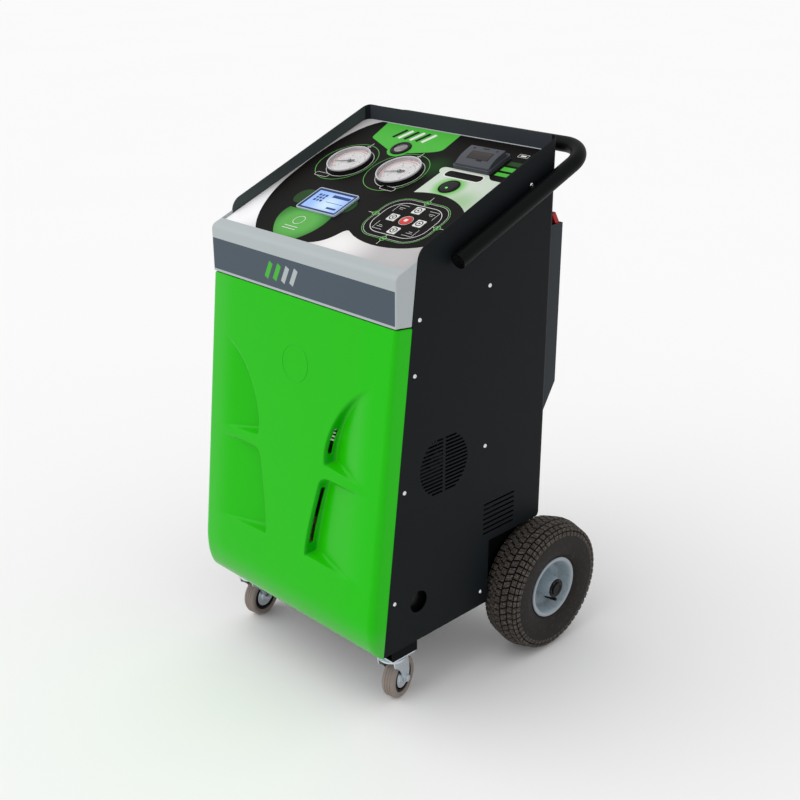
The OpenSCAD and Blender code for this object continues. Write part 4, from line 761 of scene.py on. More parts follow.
def cover_mesh():
    """Open sheet over the cover's outside, finer where the recesses have their walls."""
    right = spaced((0, 46, 4), (46, 122, 1.1), (122, FLAT_TO, 2.5), (FLAT_TO, FLAT_HALF, 6))
    columns = np.array([-x for x in right[:0:-1]] + right)
    heights = spaced((0, 6, 1.2), (6, CHIN_H, 3.2), (CHIN_H, 126, 4), (126, 146, 1.2), (146, 282, 2.4),
                     (282, 346, 1.2), (346, 484, 2.2), (484, COVER_H - TOP_ROUND, 6),
                     (COVER_H - TOP_ROUND, COVER_H, 0.75))
    place = on_front()
    return grid([[place @ Vector((x, y, s)) for x, y in cover_row(s, columns)] for s in heights])


def slot_place(side, a, b, out):
    """Frame in a recess's inner wall: x into the cover, y along the slot, z out through the wall."""
    lift = math.atan2(b[0] - a[0], b[1] - a[1])
    middle = on_front(side * (a[0] + b[0]) / 2, -PROUD + SLOT_FROM, (a[1] + b[1]) / 2)
    return middle @ Matrix.Rotation(side * lift, 4, "Y") @ moved(out) @ turned(90, "Z") @ turned(90, "X")


def wall_slot(side, a, b):
    """Block that cuts an air slot through the inner wall of a recess."""
    outline = rounded(SLOT_DEEP / 2, 0, SLOT_DEEP, math.dist(a, b), 3)
    return flat([outline], SLOT_THROUGH, slot_place(side, a, b, -SLOT_THROUGH / 2), SHARP, 0)


def slot_fins(side, a, b):
    """Slanted pale fins across the upper half of an air slot, held in the wall at both ends."""
    place = slot_place(side, a, b, side * FIN_OUT - FIN_T / 2)
    strips = [line(-1, v + FIN_RISE, SLOT_DEEP + 1, v, FIN_W) for v in FIN_SPOTS]
    return [flat([strip], FIN_T, place, 0.2, 1) for strip in strips]


def front_cover():
    obj = piece("cover_shell", [cover_mesh()], GREEN, stands_for=["front_cover"])
    shell = obj.modifiers.new("wall", "SOLIDIFY")
    shell.thickness = MOULD * MM
    shell.offset = -1
    settle(obj)
    for side in (-1, 1):
        for slot in (UPPER_SLOT, LOWER_SLOT):
            cut(obj, wall_slot(side, *slot))
    smooth(obj.data, COVER_CREASE)
    mark = lathe(RING_SECTION, on_front(0, -PROUD, RING_S) @ turned(90, "X"), 96)
    piece("cover_ring", [mark], GREEN)
    fins = [fin for side in (-1, 1) for fin in slot_fins(side, *UPPER_SLOT)]
    piece("slot_fins", fins, INK_WHITE)


# Silver fascia with its lip, and the dark band across it with plain slanted marks
panel_in_front = basis(FRONT_AT, FRONT_AXES).inverted() @ basis(PANEL_AT, PANEL_AXES)
LIP_ANGLE = math.degrees(math.atan2(PANEL_AXES[1].z, PANEL_AXES[1].y)) + LEAN
FASCIA_CREASE = 24
SEAT_L = 200
SEAT_H = 60
SEAT_GAP = 0.5
MARKS_X = (-84, -62, -40, -18)
MARKS_T = 0.1
MARK_W = 10
MARK_SLANT = 14
MARK_LOW = BAND_LOW + 14
MARK_TOP = BAND_LOW + 43


def over_panel(y, h):
    """Height in the leaning frame of the line h above the panel, at depth y."""
    start = panel_in_front.translation
    angle = math.radians(LIP_ANGLE)
    return start.z + h / math.cos(angle) + math.tan(angle) * (y - start.y)


def fascia():
    lip_y = -PROUD - BULGE + LIP_R
    lip_s = over_panel(lip_y, LIP_RISE - LIP_R)
    profile = ([(0, over_panel(0, LIP_RISE)), (0, FASCIA_S), (-PROUD, FASCIA_S)]
               + circle(lip_y, lip_s, LIP_R, 10, 180, 90 + LIP_ANGLE))
    bar = flat([profile], BODY_W, on_front() @ upright(-HALF), 2.6, 4)
    obj = piece("fascia_shell", [bar], SILVER, stands_for=["fascia"],
                crease=FASCIA_CREASE)
    seat = rounded(0, SEAT_L / 2 - PANEL_NOSE, 2 * (HALF - SHEET - SEAT_GAP), SEAT_L, 3)
    cut(obj, flat([seat], SEAT_H, on_panel(0, 0, PANEL_UNDER), SHARP, 0))
    smooth(obj.data, FASCIA_CREASE)
    tilt = math.atan2(BULGE, lip_s - FASCIA_S)
    face = on_front(0, -PROUD, FASCIA_S) @ Matrix.Rotation(tilt, 4, "X") @ turned(90, "X")
    strip = rounded(0, BAND_LOW + BAND_H / 2, BODY_W - 2 * FASCIA_R, BAND_H, 0.6)
    inlay = flat([strip], BAND_T, face @ moved(0, 0, BAND_PROUD - BAND_T))
    piece("fascia_inlay", [inlay], SLATE, stands_for=["fascia_band"])
    slants = [line(x, MARK_LOW, x + MARK_SLANT, MARK_TOP, MARK_W) for x in MARKS_X]
    marks = [flat([slant], MARKS_T, face @ moved(0, 0, BAND_PROUD), SHARP, 0) for slant in slants]
    piece("fascia_marks_green", marks[:2], FILM_GREEN)
    piece("fascia_marks_pale", marks[2:], SILVER)


# Printed film on the control panel, with plain fields, rings and bare labels
FILM = 0.8
INK = 0.07
FILM_X = HALF - SHEET - 1
FILM_TOP = PANEL_LEN - 1
FILM_R = 14
KEY_GAP = 0.3
KEY_SPOTS = {"up": (0, KEY_PITCH), "down": (0, -KEY_PITCH), "left": (-KEY_PITCH, 0), "right": (KEY_PITCH, 0)}
PRINT_HOLE = circle(KEYS_X, PRINT_V, PRINT_D / 2 + KEY_GAP)
SIGHT_HOLE = circle(GROUP_X, SIGHT_V, 16)
DISPLAY_HOLE = rounded(GROUP_X, DISPLAY_V, 91, 55, 1)
PRINTER_HOLE = rounded(PRINTER_X, PRINTER_V, 77, 54, 1)
GAUGE_HOLE_R = GAUGE_D / 2 - 4
FIELD_LOW = -PANEL_NOSE + 0.5
FIELD_TOP = FILM_TOP - 1
FIELD_X = FILM_X - 0.5


def panel_openings():
    loops = [circle(x, GAUGE_V, GAUGE_HOLE_R) for x in GAUGE_XS] + [SIGHT_HOLE, DISPLAY_HOLE, PRINTER_HOLE]
    side = KEY_W + 2 * KEY_GAP
    loops += [rounded(KEYS_X + x, KEYS_V + v, side, side, 2) for x, v in KEY_SPOTS.values()]
    return loops + [circle(KEYS_X, KEYS_V, STOP_D / 2 + KEY_GAP), PRINT_HOLE]


def ink(name, groups, level, material):
    """One printed layer on the film, counted up from its face, as groups of outlines."""
    place = on_panel(0, 0, level * INK)
    return piece(name, [printed(loops, INK, place) for loops in groups], material)


def black_field():
    return (bezier((-140, FIELD_LOW), (-176, 4), (-212, 60), (-224, 125))
            + bezier((-224, 125), (-236, 200), (-240, 320), (-184, FIELD_TOP))[1:]
            + [(FIELD_X - 12, FIELD_TOP), (FIELD_X, FIELD_TOP - 12)]
            + bezier((FIELD_X, 70), (205, 16), (105, 0), (46, 33))
            + bezier((46, 33), (40, 37), (35, 33), (32, 24), 6)[1:]
            + bezier((32, 24), (24, -8), (4, -18), (-22, FIELD_LOW), 8)[1:])


def pale_field():
    return ([(70, 171), (72, 236)] + bezier((72, 238), (64, 242), (58, 252), (70, 257), 6)
            + bezier((162, 259), (174, 259), (174, 247), (186, 245), 6) + [(FIELD_X, 244)]
            + bezier((FIELD_X, 122), (206, 158), (148, 196), (70, 171)))


def plaque_field():
    return ([(-171, FIELD_TOP), (-163, 308)]
            + bezier((-163, 308), (-162, 300), (-156, 299), (-148, 296), 4)[1:]
            + circle(GROUP_X, SIGHT_V, 27, 20, 202, 338) + [(0, 289)]
            + bezier((0, 289), (14, 295), (22, 300), (21, 308), 4)[1:] + [(18, FIELD_TOP)])


def tab_field():
    low = FIELD_LOW + 1
    return (bezier((-134, 57), (-142, 34), (-128, 6), (-93, low))
            + bezier((-42, low), (-20, 4), (-16, 34), (-24, 57)))


def panel_film():
    outline = [(-FILM_X, -PANEL_NOSE), (FILM_X, -PANEL_NOSE), (FILM_X, FILM_TOP - FILM_R)]
    outline += circle(FILM_X - FILM_R, FILM_TOP - FILM_R, FILM_R, 8, 0, 90)
    outline += circle(-FILM_X + FILM_R, FILM_TOP - FILM_R, FILM_R, 8, 90, 180)
    sheet = flat([outline] + panel_openings(), FILM, on_panel(0, 0, -FILM), 0.1, 0)
    piece("panel_film", [sheet], FILM_SILVER, stands_for=["panel_overlay"])
    ink("field_black", [[black_field()] + panel_openings()], 0, FILM_BLACK)
    ink("field_pale", [[pale_field(), PRINT_HOLE]], 1, FILM_PALE)
    ink("field_plaque", [[plaque_field(), SIGHT_HOLE]], 1, FILM_GREEN)
    lobes = [rounded(GROUP_X - 11, DISPLAY_V + 3, 150, 44, 20), rounded(GROUP_X, DISPLAY_V + 3, 91, 43, 1)]
    ink("field_lobes", [lobes], 1, FILM_DARK)
    ink("field_tab", [[tab_field()]], 1, FILM_TAB)
    rail = flat([rounded(0, FILM_TOP - 1.2, 2 * FILM_X - 30, 2.4, 0.4)], 0.5, on_panel(), 0.1, 1)
    piece("panel_edge", [rail], SILVER)


PAD_X = KEYS_X - 1
PAD_W = 148.5
PAD_H = 117
PAD_R = 42
PAD_STEP = 3.2
PAD_LINE = 0.8
KNOT_IN = 2.2
KNOT_R = 6.4
LABELS = ((GAUGE_XS[0] - 27, GAUGE_V - 49), (GAUGE_XS[1] + 14, GAUGE_V - 47.5))
LABEL_SHAPE = (36, 12, 5.9)
PRINT_LABEL = (KEYS_X + 2.5, 241)
TAB_X = -79
SIDE_LABELS_X = 191
SIDE_LABELS = ((266, 10, FILM_GREEN), (283, 12, FILM_GREEN), (301, 12, FILM_DARK))
CHIPS = 6
CHIP_PITCH = 15


def keypad_lines():
    """Rings, corner frames and knots round the keys, in white, green and black groups."""
    white = [band(PAD_X, KEYS_V, 124, 91, 34, 1.2), ring(KEYS_X, KEYS_V, 12.7, PAD_LINE, 48)]
    green = [band(PAD_X, KEYS_V, PAD_W, PAD_H, PAD_R, 1.0)]
    white.append(band(PAD_X, KEYS_V, PAD_W - 2 * PAD_STEP, PAD_H - 2 * PAD_STEP, PAD_R - PAD_STEP, 0.7))
    black = []
    for sx in (-1, 1):
        for sy in (-1, 1):
            cx, cy = PAD_X + sx * 46, KEYS_V + sy * 36.4
            for ax, ay, bx, by in ((22, 0, 0, 0), (0, 0.4, 0, 21), (18, 7, 5, 7), (15, 11, 7, 11)):
                ends = (cx - sx * ax, cy - sy * ay, cx - sx * bx, cy - sy * by)
                white.append([line(*ends, PAD_LINE)])
    for sx, sy in ((1, 0), (-1, 0), (0, 1), (0, -1)):
        cx, cy = PAD_X + sx * (PAD_W / 2 - KNOT_IN), KEYS_V + sy * (PAD_H / 2 - KNOT_IN)
        black.append([circle(cx, cy, KNOT_R, 24)])
        green += [ring(cx, cy, 5.8, 1.3, 24), [circle(cx, cy, 2.4, 16)]]
        for a, b in ((KNOT_R, 17), (-KNOT_R, -11)):
            white.append([line(cx + sx * a, cy + sy * a, cx + sx * b, cy + sy * b, 1.0)])
    return white, green, black


def panel_lines():
    """Rings, frames and bare labels in white and green lines."""
    white, green, black = keypad_lines()
    for x in GAUGE_XS:
        white.append(ring(x, GAUGE_V, 46, 1.1))
        green.append(ring(x - 10.5, GAUGE_V + 2, 61.5, 1.1))
        white.append([line(x - 6, GAUGE_V + 53, x - 4, GAUGE_V + 71, 1.2)])
        white.append([line(x - 11, GAUGE_V + 58.5, x - 1, GAUGE_V + 58.5, 1.0)])
    white.append(ring(TAB_X, 28, 11.5, 1.2, 40))
    white += [[rounded(TAB_X, v, 34, 1.6, 0.7)] for v in (8, 1)]
    white.append(band(*PRINT_LABEL, 89, 24, 11, 3))
    black.append([rounded(*PRINT_LABEL, 83, 18, 8)])
    black.append([circle(KEYS_X, PRINT_V, 20.4), PRINT_HOLE])
    green.append(ring(KEYS_X, PRINT_V, 21, 1.2))
    ink("lines_black", black, 3, FILM_BLACK)
    ink("lines_white", white, 4, INK_WHITE)
    ink("lines_green", green, 4, INK_GREEN)
    ink("gauge_label_fields", [[rounded(*label, *LABEL_SHAPE)] for label in LABELS], 5, FILM_BLACK)
    ink("gauge_label_frames", [band(*label, *LABEL_SHAPE, 0.9) for label in LABELS], 6, INK_WHITE)
    for i, (v, h, shade) in enumerate(SIDE_LABELS):
        ink("label_bar_%d" % i, [[rounded(SIDE_LABELS_X, v, 27, h, 0.6)]], 1, shade)
    ink("label_white", [band(189, 328.5, 22, 10, 0.8, 0.8), [rounded(189, 328.5, 12, 4, 0.6)]], 1, INK_WHITE)
    starts = [-118 + CHIP_PITCH * i for i in range(CHIPS)]
    chips = [[line(x, 314, x + 12, 344, 8)] for x in starts]
    ink("plaque_chips", chips[::2], 2, INK_BLACK)
    ink("plaque_bars", chips[1::2], 2, INK_WHITE)


# Pressure gauges, with turned parts as radius and height above the panel
GAUGE_R = GAUGE_D / 2
DIAL_H = 3
DIAL_R = 38.9
GAUGE_CASE = [(0, -46), (6.6, -46), (7, -45.6), (7, -24), (38.2, -24), (38.8, -23.4), (38.8, 0),
              (GAUGE_R - 0.6, 0), (GAUGE_R, 0.6), (GAUGE_R, 8.0), (GAUGE_R - 0.8, 8.8), (39.6, 8.8),
              (39, 8.2), (39, 2), (0, 2)]
GAUGE_RIM = [(39.2, 8), (GAUGE_R - 0.1, 8), (GAUGE_R, 8.8), (GAUGE_R - 0.5, 10.2), (GAUGE_R - 1.2, 10.9),
             (40.6, 10.9), (39.6, 10.4), (39.1, 9.6), (39.0, 8.8), (39.2, 8)]
# Painted highlight ring along the top of the bezel
GAUGE_SHINE = [(GAUGE_R - 1.3, 10.6), (GAUGE_R - 0.7, 10.55), (GAUGE_R - 0.9, 10.95), (GAUGE_R - 1.3, 11),
               (GAUGE_R - 1.9, 10.95), (GAUGE_R - 1.3, 10.6)]
GAUGE_LENS = [(0, 9.3), (38.9, 8.7), (38.9, 9.3), (20, 10.2), (0, 10.4)]
DIAL_DISC = [(0, 2), (DIAL_R, 2), (DIAL_R, DIAL_H), (0, DIAL_H)]
DIAL_PIN = [(0, DIAL_H), (1, DIAL_H), (1, 6.8), (0.7, 7), (0, 7)]
DIAL_WALL = [(DIAL_R - 0.5, DIAL_H), (DIAL_R, DIAL_H), (DIAL_R, 8.2), (DIAL_R - 0.3, 8.2),
             (DIAL_R - 0.5, DIAL_H)]
SWEEP_FROM = 225
SWEEP = 270
TICKS = 50
TICKS_PER_FIGURE = 10
TICK_R = 30.4
TICK_T = 0.08
LONG_TICK = (26.4, 0.9)
SHORT_TICK = (28.2, 0.44)
FIGURE_R = 21.5
FIGURE_SIZE = 5.6
ARCS = ((32.8, 36.2, 60, 225), (15.6, 16.4, -40, 220))
NEEDLE_REST = 200
NEEDLE_LEN = GAUGE_R - 13
NEEDLE = [(-11, 2.0), (-11, -2.0), (-2, -1.3), (NEEDLE_LEN, -0.5), (NEEDLE_LEN, 0.5), (-2, 1.3)]
NEEDLE_BOSS = [(1.06, 0), (4.2, 0), (4.5, 0.3), (4.4, 0.9), (3.8, 1.2), (1.06, 1.2), (1.06, 0)]


def at_gauges(*parts):
    """Turned parts at both gauges, from pairs of profile and steps."""
    return [lathe(profile, on_panel(x, GAUGE_V), steps) for x in GAUGE_XS for profile, steps in parts]


def dial_marks(x):
    """Ticks and plain figures of one dial."""
    place = on_panel(x, GAUGE_V, DIAL_H)
    ticks, figures = [], []
    for i in range(TICKS + 1):
        a = math.radians(SWEEP_FROM - SWEEP * i / TICKS)
        c, s = math.cos(a), math.sin(a)
        major = i % TICKS_PER_FIGURE == 0
        start, width = LONG_TICK if major else SHORT_TICK
        ticks.append(printed([line(start * c, start * s, TICK_R * c, TICK_R * s, width)], TICK_T, place))
        if major:
            spot = place @ moved(FIGURE_R * c, FIGURE_R * s, FIGURE_T)
            figures.append(lettering(str(i // TICKS_PER_FIGURE), FIGURE_SIZE, spot))
    return ticks + figures


def dial_arcs(x):
    place = on_panel(x, GAUGE_V, DIAL_H)
    return [printed([sector(*arc)], MARK_T, place) for arc in ARCS]


def gauges():
    piece("gauge_cups", at_gauges((GAUGE_CASE, 96)), BLACK_PLASTIC, stands_for=["gauge_cases"])
    piece("gauge_faces", at_gauges((DIAL_DISC, 72), (DIAL_PIN, 24)), DIAL_WHITE, stands_for=["gauge_dials"])
    glass = piece("gauge_glasses", at_gauges((GAUGE_LENS, 72)), CLEAR, stands_for=["gauge_lenses"])
    glass.visible_shadow = False
    piece("gauge_rims", at_gauges((GAUGE_RIM, 96), (DIAL_WALL, 96)), BEZEL)
    piece("gauge_painted_highlights", at_gauges((GAUGE_SHINE, 96)), BEZEL_HIGHLIGHT)
    piece("gauge_marks", [m for x in GAUGE_XS for m in dial_marks(x)], INK_BLACK)
    piece("gauge_arcs", [m for x in GAUGE_XS for m in dial_arcs(x)], INK_PINK)
    for x, side in zip(GAUGE_XS, ("low", "high")):
        place = on_panel(x, GAUGE_V, NEEDLE_H, NEEDLE_REST)
        meshes = [flat([NEEDLE], 0.8, place, 0.15), lathe(NEEDLE_BOSS, place, 32)]
        piece(side + "_pressure_hand", meshes, NEEDLE_GREY, body=side + "_pressure_needle",
              stands_for=[side + "_needle"])


# Display and sight glass
DISPLAY_W = 103
DISPLAY_L = 67
DISPLAY_H = 4
SCREEN_H = 3
SCREEN_DEEP = 6
SIGHT_RING = [(13.5, -18), (15.8, -18), (15.8, 0), (20.6, 0), (21, 0.5), (20.2, 2.3), (19, 3), (15, 3),
              (13.5, 1.8), (13.5, -18)]
SIGHT_GLASS = [(0, -1), (13.4, -1), (13.4, 1.6), (12.4, 2.2), (0, 2.4)]


def screen_shapes():
    """Plain bars on the right of the screen and a field of blocks on its left."""
    bars = [rounded(GROUP_X + 20, DISPLAY_V + 17, 44, 8, 0.5),
            rounded(GROUP_X + 20, DISPLAY_V - 2, 44, 1.2, 0.3),
            rounded(GROUP_X + 26, DISPLAY_V - 17, 24, 5, 0.4)]
    blocks = []
    for i in range(3):
        for j in range(3):
            width = 6 - 1.5 * ((i + j) % 2)
            blocks.append(rounded(GROUP_X - 32 + 8 * i, DISPLAY_V + 14 - 8 * j, width, 6, 0.5))
    return bars + blocks


def display():
    def frame_of(inset, r, n=6):
        return rounded(GROUP_X, DISPLAY_V, DISPLAY_W - inset, DISPLAY_L - inset, r, n)

    border = flat([frame_of(0, 5, 8), frame_of(4.4, 3, 8)], DISPLAY_H, on_panel(), 0.7, 3)
    piece("display_rim", [border], FRAME_BLUE, stands_for=["display_bezel"])
    mask = flat([frame_of(4.2, 3), frame_of(14, 1)], DISPLAY_H - 0.7, on_panel(), 0.1, 0)
    piece("display_mask", [mask], NAVY)
    glass = flat([frame_of(14.4, 0.8)], SCREEN_H + SCREEN_DEEP, on_panel(0, 0, -SCREEN_DEEP), 0.2, 1)
    piece("display_panel", [glass], SCREEN, stands_for=["display_screen"])
    shapes = [printed([shape], MARK_T, on_panel(0, 0, SCREEN_H)) for shape in screen_shapes()]
    piece("display_shapes", shapes, SCREEN_INK)


def sight_glass():
    place = on_panel(GROUP_X, SIGHT_V)
    piece("sight_ring", [lathe(SIGHT_RING, place)], BLACK_PLASTIC, stands_for=["sight_glass_ring"])
    piece("sight_window", [lathe(SIGHT_GLASS, place)], SIGHT, stands_for=["sight_glass_lens"])


# Keys and the print button
ARROW = [(-2.0, -3.2), (3.8, 0), (-2.0, 3.2)]
MARK_H = KEY_RISE - 0.02
STOP_R = STOP_D / 2
STOP_CAP = [(0, PANEL_UNDER), (STOP_R, PANEL_UNDER), (STOP_R, KEY_RISE - 0.6),
            (STOP_R - 0.2, KEY_RISE - 0.2), (STOP_R - 0.7, KEY_RISE), (0, KEY_RISE)]
PRINT_R = PRINT_D / 2
PRINT_CAP = [(0, PANEL_UNDER), (PRINT_R, PANEL_UNDER), (PRINT_R, 0.4), (PRINT_R - 0.3, 0.8),
             (PRINT_R - 1, KEY_RISE), (PRINT_R - 2, 1.1), (PRINT_R - 3, 1.7), (PRINT_R - 4.2, 1.8), (0, 1.7)]
LAMP = [(0, 1.5), (2.8, 1.5), (2.7, 1.76), (0, 1.8)]


def arrow_key(name, turn):
    x, v = KEY_SPOTS[name]
    body = name + "_key"
    place = on_panel(KEYS_X + x, KEYS_V + v, PANEL_UNDER)
    block = flat([rounded(0, 0, KEY_W, KEY_W, 1.8)], KEY_RISE - PANEL_UNDER, place, 0.45, 3)
    piece("cap_" + name, [block], KEY_WHITE, body=body, stands_for=["key_" + name])
    mark = on_panel(KEYS_X + x, KEYS_V + v, MARK_H)
    icon = [printed([circle(0, 0, 7.3, 40), circle(0, 0, 5.2, 40)], MARK_T, mark),
            printed([ARROW], MARK_T, mark @ turned(turn, "Z"))]
    piece("icon_" + name, icon, INK_BLACK, body=body)


def keys():
    for name, turn in (("up", 90), ("down", 270), ("left", 180), ("right", 0)):
        arrow_key(name, turn)
    stop = lathe(STOP_CAP, on_panel(KEYS_X, KEYS_V))
    piece("cap_stop", [stop], KEY_RED, body="stop_key", stands_for=["key_stop"])
    icon = printed([rounded(0, 0, 7, 7, 0.6)], MARK_T, on_panel(KEYS_X, KEYS_V, MARK_H))
    piece("icon_stop", [icon], INK_WHITE, body="stop_key")
    button = lathe(PRINT_CAP, on_panel(KEYS_X, PRINT_V))
    piece("cap_print", [button], BLACK_PLASTIC, body="print_key", stands_for=["print_button"])
    lamp = lathe(LAMP, on_panel(KEYS_X - 1, PRINT_V - 6), 32)
    piece("lamp_print", [lamp], LAMP_GREEN, body="print_key")


# Printer lid with its window
PRINTER_H = 7
LID_W = 78.2
LID_FRONT = -27.0
LID_LOW = 1.2
LID_BACK = 22.8
LID_TOP = 17
LID_CURVE = ((LID_FRONT + 1, 9), (-10.3, LID_TOP), (0.8, LID_TOP), (LID_BACK, LID_TOP))
LID_STEPS = 60
HINGE_V = 24.4
HINGE_H = 5.5
LID_UNDER = [(LID_BACK, 9), (HINGE_V, 8.5), (27, HINGE_H), (HINGE_V, 2.9), (21.4, 2.9), (21.4, 5),
             (-24.8, 5), (-24.8, LID_LOW)]
PATCH_SUNK = 0.6
PATCH_CHAMFER = 0.3


def lid_patch(first, last, mid, half, rise):
    """Thin plate that follows the lid's curve between two of its points, on both sides of mid."""
    place = on_panel(PRINTER_X, PRINTER_V)
    top = half - PATCH_CHAMFER
    rows = []
    for v, h in bezier(*LID_CURVE, LID_STEPS)[first:last + 1]:
        section = [(-half, h - PATCH_SUNK), (half, h - PATCH_SUNK)]
        section += [(x, h + rise) for x in (half, top, -top, -half)]
        rows.append([place @ Vector((mid + x, v, z)) for x, z in section])
    return grid(rows, closed=True, capped=True)


def printer():
    profile = [(LID_FRONT, LID_LOW), (LID_FRONT, PRINTER_H)] + bezier(*LID_CURVE, 16) + LID_UNDER
    place = on_panel(PRINTER_X, PRINTER_V) @ upright(-LID_W / 2)
    lid = flat([profile, circle(HINGE_V, HINGE_H, 1.6, 24)], LID_W, place, 0.5, 2)
    piece("lid_cap", [lid], DARK_PLASTIC, body="lid", stands_for=["printer_lid"])
    piece("lid_window", [lid_patch(19, 44, 2, 23, 0.25)], WINDOW, body="lid")
    piece("lid_window_edge", [lid_patch(18, 45, 2, 24.5, 0.1)], BLACK_PLASTIC, body="lid")
    notch = lid_patch(14, 19, 8, 6, 0.2)
    slit = lid_patch(54, 57, 0, 7, 0.2)
    ears = [lid_patch(52, 55, x, 1.6, 0.5) for x in (-26, 26)]
    piece("lid_notch", [notch, slit] + ears, BLACK_PLASTIC, body="lid")


# Rear tyres: smooth carcass with rows of lugs
LUG_COUNT = 58
LUG_GAP = 3.2
LUG_HALF = (2 * math.pi * TYRE_R / LUG_COUNT - LUG_GAP) / 2
LUG_CHAMFER = 0.7
LUG_FOOT = 0.3
GROOVE = 3.5
GROOVE_FADE = 17
ROW_X = (5.5, 8.5, 19.5, 22.5)
ROW_SKEW = 22
EDGE = (TYRE_R - 8, TYRE_W / 2 - 4)
WALL = (TYRE_R - 24, TYRE_W / 2)
WALL_STEPS = 8
BEAD = (RIM_D / 2 + 2, 29)
INSIDE = [(54, -29.4), (53.7, -26), (60, -22), (112, -28), (117, -19), (117, 19), (112, 28), (60, 22),
          (53.7, 26), (54, 29.4), BEAD]
CUT_W = 1.6
CUT_DEEP = 1.0
CUTS = (33, 43)
STEP = 1.5
TURN_STEPS = 2 * LUG_COUNT
FLOOR_LIFT = 0.15
CUT_LIFT = 0.1


def tyre_section():
    """Half section from the crown out to the bead, as width along the rubber, radius and x."""
    points = [(TYRE_R, 0), (TYRE_R, ROW_X[0]), EDGE]
    points += bezier(EDGE, (EDGE[0] - 5, EDGE[1] + 1.5), (WALL[0] + 5, WALL[1] - 0.9), WALL, WALL_STEPS)[1:]
    points += bezier(WALL, (90, WALL[1]), (70, 38), BEAD, 12)[1:]
    run = [0.0]
    for (r0, x0), (r1, x1) in zip(points, points[1:]):
        run.append(run[-1] + math.hypot(r1 - r0, x1 - x0))
    return np.array(run), np.array([p[0] for p in points]), np.array([p[1] for p in points])


SECTION = tyre_section()
SHOULDER_W = float(np.interp(WALL[1], SECTION[2][:WALL_STEPS + 3], SECTION[0][:WALL_STEPS + 3]))


def lifted(w, lift):
    """Radius and x of the point that is lifted off the section at a signed width along it."""
    run, radius, across = SECTION
    side = 1 if w >= 0 else -1
    w = abs(w)
    first = min(w, run[-1] - STEP)
    dr = np.interp(first + STEP, run, radius) - np.interp(first, run, radius)
    dx = np.interp(first + STEP, run, across) - np.interp(first, run, across)
    long = math.hypot(dr, dx)
    r, x = np.interp(w, run, radius), side * np.interp(w, run, across)
    return r + dx / long * lift, x - side * dr / long * lift


def tread_sink(w):
    """Depth of the grooves at a width, which fades out down the side wall."""
    return GROOVE * min(1.0, max(0.0, (SHOULDER_W - w) / GROOVE_FADE))


def lug_rows(low, high, count, cuts=()):
    """Widths along a lug with the lift of its top at each, sloped at both ends, with shallow cuts across."""
    first, last = low + LUG_CHAMFER, high - LUG_CHAMFER
    level = [(first + (last - first) * i / count, 0.0) for i in range(count + 1)]
    for w in cuts:
        level = [p for p in level if abs(p[0] - w) > CUT_W]
        level += [(w - CUT_W, 0.0), (w - CUT_W / 2, -CUT_DEEP), (w + CUT_W / 2, -CUT_DEEP), (w + CUT_W, 0.0)]
    return ([(low - LUG_FOOT, -GROOVE), (low, -LUG_CHAMFER)] + sorted(level)
            + [(high, -LUG_CHAMFER), (high + LUG_FOOT, -GROOVE)])


def lug(place, rows, turn, skew, side):
    """One lug over the given rows of width and lift, as an open shell sunk into the carcass."""
    middle = (rows[0][0] + rows[-1][0]) / 2
    right = [(LUG_HALF - LUG_CHAMFER, 0.0), (LUG_HALF, -LUG_CHAMFER), (LUG_HALF + LUG_FOOT, -GROOVE)]
    profile = [(-t, lift) for t, lift in reversed(right)] + right
    points = []
    for w, top in rows:
        across = []
        for t, lift in profile:
            sink = min(lift, top)
            if sink <= -GROOVE:
                sink = max(sink, -tread_sink(w)) - LUG_FOOT
            r, x = lifted(side * w, sink)
            a = turn + (t + (w - middle) * skew) / TYRE_R
            across.append(place @ Vector((r * math.cos(a), r * math.sin(a), x)))
        points.append(across if side > 0 else across[::-1])
    return grid(points)


def carcass(place):
    """The tyre without its lugs, down to the floor of the grooves, and its inside."""
    widths = [SECTION[0][-1] * (1 - i / 40) for i in range(41)]
    half = [lifted(w, -tread_sink(w)) for w in widths]
    return lathe(half + [(r, -x) for r, x in half[-2::-1]] + INSIDE, place, TURN_STEPS)


def groove_shade_bands(place):
    """Painted shade: dark bands just above the floor of the grooves and of the cuts across the outer lugs.
    """
    widths = [SHOULDER_W * (i / 20 - 1) * 0.9 for i in range(41)]
    bands = [[lifted(w, FLOOR_LIFT - tread_sink(abs(w))) for w in widths]]
    for w in [sign * c for sign in (-1, 1) for c in CUTS]:
        bands.append([lifted(w + d, CUT_LIFT - CUT_DEEP) for d in (-CUT_W * 0.6, 0, CUT_W * 0.6)])
    return [lathe(strip, place, TURN_STEPS) for strip in bands]


def lugs(place):
    """All lugs: a row along the middle, and on both sides a skewed row and the shoulder's row."""
    skew = math.tan(math.radians(ROW_SKEW))
    pitch = 2 * math.pi / LUG_COUNT
    middle = lug_rows(-ROW_X[0], ROW_X[0], 4)
    slanted = lug_rows(ROW_X[1], ROW_X[2], 3)
    shoulder = lug_rows(ROW_X[3], SHOULDER_W, 7, CUTS)
    meshes = []
    for k in range(LUG_COUNT):
        meshes.append(lug(place, middle, k * pitch, 0, 1))
        for side in (-1, 1):
            meshes.append(lug(place, slanted, (k + 0.5) * pitch, -skew, side))
            meshes.append(lug(place, shoulder, k * pitch, 0, side))
    return meshes


def tyre(side):
    place = along(joints["rear_wheel_%s_spin" % side]["pos_m"], X_AXIS)
    body = "rear_wheel_" + side
    piece("tyre_%s_walls" % side, [carcass(place)], RUBBER, body=body, stands_for=["tyre_" + side])
    piece("tyre_%s_grooves" % side, groove_shade_bands(place), RUBBER_GROOVE_SHADE, body=body)
    piece("tyre_%s_lugs" % side, lugs(place), RUBBER_WORN, body=body, crease=28)


